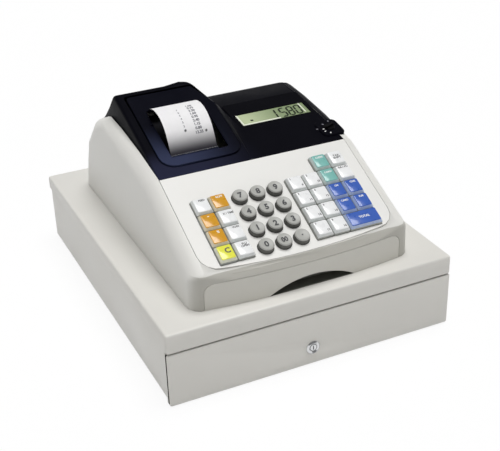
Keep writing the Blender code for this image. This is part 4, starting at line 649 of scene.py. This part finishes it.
@dataclass
class Housing(Register):
    """The moulded body with its keyboard panel.

    The lip below the keyboard bows forward with the square of the distance from its middle.
    A face of the shoulder takes the deck's finish if its normal leans right and up enough.
    """

    lip_front: float = -186.3 * MM
    lip_middle: float = 1.0 * MM
    lip_bow: float = 0.607
    lip_foot: float = 115.35 * MM
    lip_rise: float = 1.58
    lip_end: float = 96.0 * MM
    lip_fade: float = 20.0 * MM
    lip_sharp_degrees: float = 24.0
    shoulder_low: Vector = vector(0.1105, -0.0450, 0.0)
    shoulder_high: Vector = vector(0.1290, 0.1180, 0.2)
    shoulder_right: float = 0.1
    shoulder_up: float = 0.12
    recess_floor_z: float = 86.15 * MM
    recess_low: Vector = vector(-0.0440, -0.1849, 0.0855)
    recess_high: Vector = vector(0.0540, -0.1680, 0.1005)

    def build(self) -> None:
        """Dress the body."""
        case = self.copied("upper_case", "register", "white_moulding", WHITE_ABS)
        self.wrap_shoulder(case)
        self.steepen_lip(case)
        self.copied("keyboard_panel", "register", "white_moulding", PANEL_ABS)
        self.dress("key_guide_board", BOARD)
        self.darken_recess(self.copied("lower_case", "register", "white_moulding", FASCIA_ABS))
        self.floor_recess()

    def wrap_shoulder(self, case: Item) -> None:
        """Carry the deck's dark finish over the upper case's right shoulder."""
        low, high = self.shoulder_low, self.shoulder_high
        bm = bmesh.new()
        bm.from_mesh(case.data)
        bmesh.ops.bisect_plane(bm, geom=bm.verts[:] + bm.edges[:] + bm.faces[:],
                               plane_co=low, plane_no=Vector((0, 1, 0)))
        bm.to_mesh(case.data)
        bm.free()
        paint(case, NAVY_ABS, lambda face: (
            low.x < face.center.x < high.x and low.y < face.center.y < high.y
            and face.normal.x > self.shoulder_right and face.normal.z > self.shoulder_up))

    def steepen_lip(self, case: Item) -> None:
        """Turn the upper case down steeply right below the keyboard's seam."""
        for vertex in case.data.vertices:
            aside = abs(vertex.co.x - self.lip_middle)
            behind = vertex.co.y - (self.lip_front + self.lip_bow * aside ** 2)
            fade = min(max((aside - self.lip_end) / self.lip_fade, 0.0), 1.0)
            line = self.lip_foot + self.lip_rise * max(behind, 0.0) + self.lip_fade * fade ** 2
            if behind < self.lip_fade and vertex.co.z > line:
                vertex.co.z = line
        shade(case, self.lip_sharp_degrees)

    def floor_recess(self) -> None:
        """Close the finger recess with a grey plate over the lid, as painted shade."""
        low, high = self.recess_low, self.recess_high
        bm = bmesh.new()
        add_face(bm, [Vector((x, y, self.recess_floor_z)) for x, y in
                      ((low.x, low.y), (high.x, low.y), (high.x, high.y), (low.x, high.y))])
        fit(new_object("recess_floor_painted_shade", bm, [RECESS_PAINTED_SHADE]), "register", "black_moulding")

    def darken_recess(self, case: Item) -> None:
        """Paint shade on the faces inside the finger recess of the lower case."""
        low, high = self.recess_low, self.recess_high
        paint(case, RECESS_PAINTED_SHADE, lambda face: all(
            low[axis] < face.center[axis] < high[axis] for axis in range(3)))


# The square keys: name, label and legends
SQUARE_KEYS = (
    ("paper_feed", Label.WHITE, Legend("FEED", 0.2, 0.72)),
    ("receipt", Label.ORANGE, Legend("RCPT", 0.2, 0.66)),
    ("minus", Label.ORANGE, Legend("-", 0.0, 0.62, 4.6)),
    ("quantity", Label.WHITE, Legend("X / TIME", 0.28, 0.45)),
    ("percent", Label.ORANGE, Legend("%", 0.3, 0.62, 3.0)),
    ("void", Label.WHITE, Legend("VOID", 0.3, 0.72)),
    ("clear", Label.YELLOW, Legend("C", 0.3, 0.2, 6.2)),
    ("look_up", Label.WHITE, Legend("PLU\nOPEN", 0.3, 0.4, 2.4)),
    *[(f"group_{number}", Label.WHITE, Legend(str(number), -0.75, 0.72, 2.4),
       Legend(str(number + 8), 0.68, -0.62, 2.6)) for number in range(1, 9)],
    ("clerk", Label.TEAL, Legend("CLERK", 0.1, 0.6)),
    ("tax", Label.WHITE, Legend("TAX\nSHIFT", 0.1, 0.1, 2.6)),
    ("currency", Label.TEAL, Legend("CONV", 0.1, 0.5)),
    ("received", Label.WHITE, Legend("RA / PO", 0.1, 0.75, 2.4)),
    ("charge", Label.BLUE, Legend("CH", 0.1, 0.6)),
    ("cheque", Label.BLUE, Legend("CHK", 0.2, 0.65)),
    ("credit", Label.BLUE, Legend("CARD", 0.0, 0.6)),
    ("subtotal", Label.BLUE, Legend("SUB", 0.1, 0.65)),
    ("total", Label.BLUE, Legend("TOTAL", 0.05, 0.05, 2.8)),
)


@dataclass
class Keyboard(Register):
    """All the keys with their labels and legends, on the sloping panel.

    A square key's sections hold how far each lies inside the key's outline, its height over
    the panel, its corner radius and the number of the finish above it: rim, label or skirt.
    A number key's hold a radius, a height and the number of the finish: top or side. Its
    print follows the dish in its top, a little higher. The double zero is smaller.
    """

    foot: Vector = vector(0.001, -0.061887, 0.179718)
    tilt: float = math.radians(25.0)
    square_sections_mm: tuple = (
        (0.0, -4.0, 0.96, 2), (0.0, 3.0, 0.96, 0), (0.216, 3.45, 1.28, 0), (0.63, 4.296, 1.44, 0),
        (1.53, 5.97, 1.6, 1), (1.8, 6.384, 1.6, 1), (2.16, 6.6, 1.6, 1))
    square_sharp_degrees: float = 40.0
    square_boldness: float = 0.05
    number_sections_mm: tuple = (
        (8.3, -4.0, 1), (8.3, 4.4, 1), (8.05, 5.2, 0), (7.55, 6.1, 0), (7.15, 6.48, 0),
        (6.8, 6.6, 0), (6.45, 6.5, 0), (4.565, 5.925, 0), (2.075, 5.7, 0))
    number_sides: int = 32
    number_sharp_degrees: float = 50.0
    number_boldness: float = 0.06
    dish_radius: float = 6.9 * MM
    dish_depth: float = 0.9 * MM
    dish_print: float = 5.86 * MM
    digit_height: float = 6.6 * MM
    pair_height: float = 5.8 * MM
    pair_spread: float = 0.86
    print_gap: float = 0.03 * MM

    def slope(self) -> Matrix:
        """The keyboard's frame: X to the right, Y up the slope and Z out of it."""
        return Matrix.Translation(self.foot) @ Matrix.Rotation(self.tilt, 4, "X")

    def middle(self, name: str) -> tuple[Vector, Vector]:
        """A key's centre on the slope, and half its size."""
        low, high = local_box(self.nodes[name], self.slope())
        return ((low + high) / 2).xy.to_3d(), (high - low) / 2

    def put_cap(self, name: str, slot: str, rings: list[list[Vector]], sections: tuple,
                finishes: list[Finish], degrees: float) -> None:
        """Make a key's cap from its rings on the slope and the sections that they follow."""
        bm = bmesh.new()
        for faces, section in zip(ring_loft(bm, rings), sections):
            for face in faces:
                face.material_index = section[-1]
        bm.transform(self.slope())
        cap = shade(new_object(f"{name}_cap", bm, finishes), degrees)
        fit(cap, f"body_{name}", slot, name)

    def square_key(self, name: str, label: Label, legends: Iterable[Legend]) -> None:
        """A clear bevelled cap over a coloured label, with its legends."""
        centre, half = self.middle(name)
        rings = []
        for inset, height, corner, _ in self.square_sections_mm:
            ring = round_rectangle(half.x - inset * MM, half.y - inset * MM, corner * MM)
            rings.append([point + centre + Vector((0, 0, height * MM)) for point in ring])
        slot = f"key_{label.name.lower()}"
        self.put_cap(name, slot, rings, self.square_sections_mm,
                     [label.rim(), label.face(), CAP_SKIRT], self.square_sharp_degrees)
        inset, height = self.square_sections_mm[-1][:2]
        ink = bmesh.new()
        for legend in legends:
            points, faces = letter_mesh(legend.text, legend.height_mm * MM, self.square_boldness)
            place = centre + Vector((legend.across_share * (half.x - inset * MM),
                                     legend.up_share * (half.y - inset * MM),
                                     height * MM + self.print_gap))
            add_faces(ink, [self.slope() @ (point + place) for point in points], faces)
        fit(new_object(f"{name}_legend", ink, [label.ink()]), f"body_{name}", slot)

    def number_key(self, name: str, text: str) -> None:
        """A round dished key with its digit or sign."""
        centre = self.middle(name)[0]
        turns = [2 * math.pi * step / self.number_sides for step in range(self.number_sides)]
        rings = [[centre + Vector((reach * math.cos(turn), reach * math.sin(turn), height)) * MM
                  for turn in turns] for reach, height, _ in self.number_sections_mm]
        self.put_cap(name, "key_grey", rings, self.number_sections_mm,
                     [KEY_GREY, KEY_SIDE_PAINTED_SHADE], self.number_sharp_degrees)
        height, spread = ((self.digit_height, 1.0) if len(text) == 1 else
                          (self.pair_height, self.pair_spread))
        points, faces = letter_mesh(text, height, self.number_boldness)
        lifted = []
        for point in points:
            reach = min(math.hypot(point.x, point.y) / self.dish_radius, 1)
            level = self.dish_print + self.dish_depth * reach ** 2
            lifted.append(self.slope() @ (centre + Vector((point.x * spread, point.y, level))))
        ink = bmesh.new()
        add_faces(ink, lifted, faces)
        fit(new_object(f"{name}_legend", ink, [DARK_INK]), f"body_{name}", "key_grey")

    def build(self) -> None:
        """Make every key."""
        for name, label, *legends in SQUARE_KEYS:
            self.square_key(f"key_{name}", label, legends)
        for digit in (*"0123456789", "00"):
            self.number_key(f"key_{digit}", digit)
        self.number_key("key_point", ".")


# Which of the seven strokes each digit lights: top, upper right, lower right, bottom,
# lower left, upper left and middle
LIT_STROKES = {"0": (0, 1, 2, 3, 4, 5), "1": (1, 2), "5": (0, 5, 6, 2, 3),
               "8": (0, 1, 2, 3, 4, 5, 6)}


@dataclass
class Digits:
    """A row of seven-stroke digits on the crystal, leaning to the right."""

    text: str = "1580"
    height: float = 18.0 * MM
    width: float = 6.2 * MM
    starts_mm: tuple[float, ...] = (0.0, 12.6, 22.2, 32.0)
    stroke: float = 2.1 * MM
    tip_share: float = 1.15
    lean: float = 0.08

    def bar(self, start: Vector, end: Vector) -> list[Vector]:
        """The corners of one stroke, a six-sided bar with pointed ends."""
        along = (end - start).normalized() * self.stroke / 2
        side = Vector((-along.y, along.x, 0))
        near, far = start + along * self.tip_share, end - along * self.tip_share
        return [near - along, near - side, far - side, far + along, far + side, near + side]

    def bars(self) -> list[list[Vector]]:
        """Every lit stroke of the row, from the first digit's lower left corner."""
        nodes = [Vector((right * self.width, halves * self.height / 2, 0)) for right, halves in
                 ((0, 2), (1, 2), (1, 1), (1, 0), (0, 0), (0, 1))]
        strokes = [(0, 1), (1, 2), (2, 3), (4, 3), (5, 4), (0, 5), (5, 2)]
        lit = []
        for place, digit in enumerate(self.text):
            for number in LIT_STROKES[digit]:
                start, end = (nodes[index] for index in strokes[number])
                bar = [point + Vector((self.starts_mm[place] * MM, 0, 0))
                       for point in self.bar(start, end)]
                lit.append([Vector((point.x + self.lean * point.y, point.y, 0)) for point in bar])
        return lit


@dataclass
class Deck(Register):
    """The dark deck with the display and the mode switch.

    Places on the crystal are shares of its width, or of its depth for a low edge.
    """

    lens_front: Vector = vector(0.0625, -0.00189, 0.18951)
    lens_tilt: float = math.radians(8.6)
    lens_edge_mm: float = 0.3
    digits: Digits = field(default_factory=Digits)
    digits_share: float = 0.462
    digits_low_share: float = 0.13
    shade_drop: Vector = vector(-0.7 * MM, -0.7 * MM, -0.02 * MM)
    left_edge: float = 2.6 * MM
    front_edge: float = 3.6 * MM
    front_edge_share: float = 0.56
    end_bar: float = 1.5 * MM
    end_bar_share: float = 0.935
    sign_place_shares: tuple[float, float] = (0.165, 0.36)
    sign_shape: tuple[float, float, float] = (1.8 * MM, 1.5 * MM, 0.8 * MM)
    film: float = 0.04 * MM
    switch_edge_mm: float = 0.25
    switch_centre: Vector = vector(0.107, -0.03649, 0.18421)
    switch_axis: Vector = vector(0, -0.17422, 0.98471)
    pad_rise: float = 1.8 * MM
    switch_marks_mm: tuple = ((-8.4, -1.6), (-8.6, -6.5), (-4.2, -11.0))
    # Painted highlights: grey glints on the switch
    switch_glints_mm: tuple = ((-15.4, 0.6), (-4.6, 7.6), (4.4, 11.6))
    mark_half: float = 1.1 * MM
    glint_half: float = 1.3 * MM
    mark_slimness: float = 0.62
    mark_corner: float = 0.4 * MM

    def build(self) -> None:
        """Dress the deck, the lens and the display, and print the mode switch's marks."""
        self.copied("deck_cover", "register", "navy_moulding", NAVY_ABS)
        self.copied("display_window", "register", "navy_lens", SMOKED_ACRYLIC, self.lens_edge_mm)
        self.copied("lcd_panel", "register", "display_glass", CRYSTAL)
        self.copied("mode_key", "mode_switch", "black_moulding", SWITCH_ABS, self.switch_edge_mm)
        self.light_crystal()
        self.mark_switch()

    def light_crystal(self) -> None:
        """Show the digits with their painted shadows, the small sign and the bright edges of the
        crystal.
        """
        plane = Matrix.Translation(self.lens_front) @ Matrix.Rotation(self.lens_tilt, 4, "X")
        low, high = local_box(self.nodes["lcd_panel"], plane)
        size = high - low
        top = high.z + self.film
        ink, shades, edges = bmesh.new(), bmesh.new(), bmesh.new()
        corner = Vector((low.x + size.x * self.digits_share,
                         low.y + size.y * self.digits_low_share, top))
        for bar in self.digits.bars():
            add_face(ink, [plane @ (corner + point) for point in bar])
            # Painted shadow: each stroke again, moved a little aside and below, in a mid green
            add_face(shades, [plane @ (corner + point + self.shade_drop) for point in bar])
        across, up = self.sign_place_shares
        sign = Vector((low.x + across * size.x, low.y + up * size.y, top))
        add_face(ink, [plane @ (sign + point) for point in round_rectangle(*self.sign_shape)])
        reach = low.x + size.x * self.front_edge_share
        bar_x = low.x + size.x * self.end_bar_share
        level = top - self.film / 4
        for left, right, front, back in (
                (low.x, low.x + self.left_edge, low.y, high.y),
                (low.x + self.left_edge, reach, low.y, low.y + self.front_edge),
                (bar_x, bar_x + self.end_bar, low.y + self.front_edge, high.y)):
            add_face(edges, [plane @ Vector((x, y, level)) for x, y in
                             ((left, front), (right, front), (right, back), (left, back))])
        for name, bm, finish in (("digits", ink, CRYSTAL_INK), ("shades", shades, CRYSTAL_SHADE),
                                 ("edges", edges, CRYSTAL_EDGE)):
            fit(new_object(f"crystal_{name}", bm, [finish]), "register", "display_glass")

    def mark_switch(self) -> None:
        """Print short white strokes round the mode switch, one for each of its places, and grey
        glints on it as painted highlights.
        """
        turn = Vector((0, 0, 1)).rotation_difference(self.switch_axis).to_matrix().to_4x4()
        plane = Matrix.Translation(self.switch_centre) @ turn
        for name, places, finish, half in (
                ("switch_marks", self.switch_marks_mm, LIGHT_INK, self.mark_half),
                ("switch_glints", self.switch_glints_mm, PRINT_AND_GLINT_GREY, self.glint_half)):
            shape = round_rectangle(half, half * self.mark_slimness, self.mark_corner)
            bm = bmesh.new()
            for x, y in places:
                outward = Vector((x, y, 0)).normalized()
                side = Vector((-outward.y, outward.x, 0))
                middle = Vector((x * MM, y * MM, self.pad_rise + self.film))
                add_face(bm, [plane @ (middle + outward * point.x + side * point.y)
                              for point in shape])
            fit(new_object(name, bm, [finish]), "register", "navy_moulding")


@dataclass
class Ticket(Register):
    """The curled paper ticket and the generic figures printed on it."""

    core: Vector = vector(0.0, 0.008, 0.188)
    sweep_degrees: range = range(190, 44, -1)
    sweep_radius: float = 80.0 * MM
    exit_height: float = 0.1834
    first_row: float = 24.7 * MM
    row_pitch: float = 4.6 * MM
    price_x: float = -44.6 * MM
    item_x: float = -60.2 * MM
    sign_x: float = -36.8 * MM
    letter_height: float = 3.1 * MM
    item_height: float = 2.48 * MM
    sign_height: float = 2.635 * MM
    price_boldness: float = 0.055
    item_boldness: float = 0.03
    sign_boldness: float = 0.07
    item_sign_rows: float = 0.9
    film: float = 0.11 * MM
    prices: tuple = ("12.35", "0.80", "1.15", "2.40", "0.95", "1.60", "3.20", "0.75", "1.50")

    def line(self) -> Track:
        """Walk up the ticket's face."""
        mesh = self.nodes["paper_strip"].data
        points = [vertex.co for vertex in mesh.vertices]
        tree = BVHTree.FromPolygons(points, [face.vertices for face in mesh.polygons])
        low, high = box_of(points)
        core = Vector(((low.x + high.x) / 2, self.core.y, self.core.z))
        places = []
        for degrees in self.sweep_degrees:
            angle = math.radians(degrees)
            outward = Vector((0, math.cos(angle), math.sin(angle)))
            hit = tree.ray_cast(core + outward * self.sweep_radius, -outward)[0]
            if hit is not None and (places or hit.z > self.exit_height):
                places.append(hit)
        line = []
        run = 0.0
        for before, after in zip(places, places[1:]):
            ahead = (after - before).normalized()
            line.append((run, before, Vector((0, -ahead.z, ahead.y))))
            run += (after - before).length
        return line

    def wrap(self, line: Track, points: Iterable[Vector], x: float, run: float) -> list[Vector]:
        """Bend flat letters round the ticket.

        Args:
            line: the ticket's face, as line() gives it.
            points: the flat letters' points.
            x: where their middle comes across the ticket.
            run: where their middle comes along the ticket.

        Returns:
            The bent points.
        """
        bent = []
        for point in points:
            along = run + point.y
            index = max(i for i, place in enumerate(line) if place[0] <= along)
            start, place, outward = line[index]
            ahead = Vector((0, outward.z, -outward.y))
            spot = place + ahead * (along - start) + outward * self.film
            bent.append(Vector((x + point.x, spot.y, spot.z)))
        return bent

    def darken_underside(self, strip: Item) -> None:
        """Paint shade on the inside of the curl, as dark as the bay below it."""
        paint(strip, TICKET_BACK_SHADE,
              lambda face: face.normal.yz.dot((face.center - self.core).yz) < 0)

    def wind_roll(self, roll: Item) -> None:
        """Paint shade on the roll's round face, and leave its ends white."""
        paint(roll, ROLL_SHADE, lambda face: abs(face.normal.x) < 0.5)

    def build(self) -> None:
        """Print the rows and dress the paper."""
        self.darken_underside(self.copied("paper_strip", "register", "paper_white", TICKET_PAPER))
        self.wind_roll(self.copied("paper_roll", "roll", "paper_white", THERMAL_PAPER))
        line = self.line()
        rows = []
        for row, price in enumerate(self.prices):
            run = self.first_row + row * self.row_pitch
            rows.append((price, self.letter_height, self.price_boldness, self.price_x, run))
            if 1 < row < len(self.prices) - 1:
                rows.append((str(row), self.item_height, self.item_boldness, self.item_x, run))
        signs = [("#", self.sign_height, self.sign_boldness, x, self.first_row + above)
                 for x, above in ((self.item_x, self.item_sign_rows * self.row_pitch),
                                  (self.sign_x, 0.0))]
        for name, texts, finish in (("ticket_print", rows, PRINT_AND_GLINT_GREY),
                                    ("ticket_signs", signs, DARK_INK)):
            bm = bmesh.new()
            for text, height, boldness, x, run in texts:
                points, faces = letter_mesh(text, height, boldness)
                add_faces(bm, self.wrap(line, points, x, run), faces)
            fit(new_object(name, bm, [finish]), "register", "paper_white")


@dataclass
class Printer(Register):
    """The printer cover, the tear bar and the works below."""

    cover_edge_mm: float = 0.4

    def build(self) -> None:
        """Dress the printer."""
        self.copied("printer_cover", "lid_of_printer", "navy_moulding", COVER_ABS,
                    self.cover_edge_mm)
        self.copied("tear_bar", "lid_of_printer", "bright_steel", TEAR_STEEL)
        self.copied("feed_roller", "roller", "roller_rubber", RUBBER)
        self.copied("printer_mechanism", "register", "zinc_steel", ZINC_STEEL)


@dataclass
class Studio:
    """Camera, floor and soft light."""

    azimuth: float = math.radians(-24.6247)
    elevation: float = math.radians(28.3370)
    roll: float = math.radians(-1.8151)
    focal_pixels: float = 1046.2066
    image_width: int = 500
    sensor_mm: float = 36.0
    place: Vector = vector(-0.43479, -0.99441, 0.65338)
    floor_reach: float = 6.0
    floor_sides: int = 64
    bend: float = 2.0
    bend_steps: int = 8
    wall_top: float = 2.6
    wall_paint: str = "#E6E6E6"
    paint_roughness: float = 0.9
    white_share: float = 0.88
    white_strength: float = 1.03
    sky_strength: float = 0.24
    sun_energy: float = 2.2
    sun_angle: float = math.radians(35.0)
    sun_forward: float = math.radians(1.0)
    sun_right: float = math.radians(6.0)

    def camera(self) -> None:
        """Place the camera where the photograph was taken from."""
        data = set_up(bpy.data.cameras.new("camera"), sensor_width=self.sensor_mm,
                      lens=self.focal_pixels / self.image_width * self.sensor_mm)
        camera = put_in_scene("camera", data)
        camera.matrix_world = (
            Matrix.Translation(self.place) @ Matrix.Rotation(self.azimuth, 4, "Z")
            @ Matrix.Rotation(math.pi / 2 - self.elevation, 4, "X")
            @ Matrix.Rotation(self.roll, 4, "Z"))
        bpy.context.scene.camera = camera

    def white(self) -> bpy.types.Material:
        """A plain pale paint that the eye, metal and glass see as white."""
        material = bpy.data.materials.new("backdrop_white")
        material.use_nodes = True
        tree = material.node_tree
        shader = tree.nodes["Principled BSDF"]
        wire(tree, shader, {"Base Color": linear(self.wall_paint), "Roughness": self.paint_roughness,
                            "Specular IOR Level": 0.0})
        path = add_node(tree, "ShaderNodeLightPath").outputs
        seen = path["Is Camera Ray"]
        for ray in ("Is Glossy Ray", "Is Transmission Ray"):
            seen = add_node(tree, "ShaderNodeMath", {0: seen, 1: path[ray]}, operation="ADD",
                            use_clamp=True).outputs[0]
        share = add_node(tree, "ShaderNodeMath", {0: seen, 1: self.white_share},
                         operation="MULTIPLY")
        glow = add_node(tree, "ShaderNodeEmission",
                        {"Color": linear("#FFFFFF"), "Strength": self.white_strength})
        mix = add_node(tree, "ShaderNodeMixShader",
                       {0: share.outputs[0], 1: shader.outputs[0], 2: glow.outputs[0]})
        wire(tree, tree.nodes["Material Output"], {"Surface": mix.outputs[0]})
        return material

    def backdrop(self) -> None:
        """A white floor that curves up into a wall all round and keeps the shadow."""
        profile = [(self.floor_reach, 0.0)]
        for step in range(1, self.bend_steps + 1):
            angle = math.pi / 2 * step / self.bend_steps
            profile.append((self.floor_reach + self.bend * math.sin(angle),
                            self.bend * (1 - math.cos(angle))))
        profile.append((self.floor_reach + self.bend, self.wall_top))
        bm = bmesh.new()
        centre = bm.verts.new((0.0, 0.0, 0.0))
        sides = range(self.floor_sides)
        turns = [2 * math.pi * side / self.floor_sides for side in sides]
        rings = [[bm.verts.new((reach * math.cos(turn), reach * math.sin(turn), height))
                  for turn in turns] for reach, height in profile]
        for side in sides:
            after = (side + 1) % self.floor_sides
            bm.faces.new((centre, rings[0][side], rings[0][after]))
            for low, high in zip(rings, rings[1:]):
                bm.faces.new((low[side], high[side], high[after], low[after]))
        item = new_object("backdrop", bm, [])
        item.data.shade_smooth()
        item.data.materials.append(self.white())
        item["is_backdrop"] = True

    def light(self) -> None:
        """Soft light from above in a plain pale surround."""
        world = bpy.data.worlds.new("studio")
        bpy.context.scene.world = world
        world.use_nodes = True
        wire(world.node_tree, world.node_tree.nodes["Background"],
             {"Color": linear("#FFFFFF"), "Strength": self.sky_strength})
        sun = set_up(bpy.data.lights.new("overhead", "SUN"), energy=self.sun_energy,
                     angle=self.sun_angle)
        put_in_scene("overhead", sun).rotation_euler = (self.sun_forward, self.sun_right, 0.0)

    def build(self) -> None:
        """Set the scene round the object."""
        self.camera()
        self.backdrop()
        self.light()
        bpy.context.scene.view_settings.view_transform = "Standard"


def corners(bounds: object) -> object:
    """Bounds as plain lists of numbers."""
    if hasattr(bounds, "__len__"):
        return [corners(value) for value in bounds]
    return float(bounds)


def main() -> None:
    """Build the sub-assemblies in order."""
    logging.basicConfig(level=logging.INFO, format="%(name)s: %(message)s")
    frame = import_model()
    packed = corners(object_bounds())
    nodes = frame["nodes"]
    Studio().build()
    for assembly in (Cabinet, Housing, Keyboard, Deck, Printer, Ticket):
        assembly(nodes).build()
        LOG.info("%s is done", assembly.__name__)
    {"packed": packed, "shown": corners(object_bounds())}


if __name__ == "__main__":
    main()
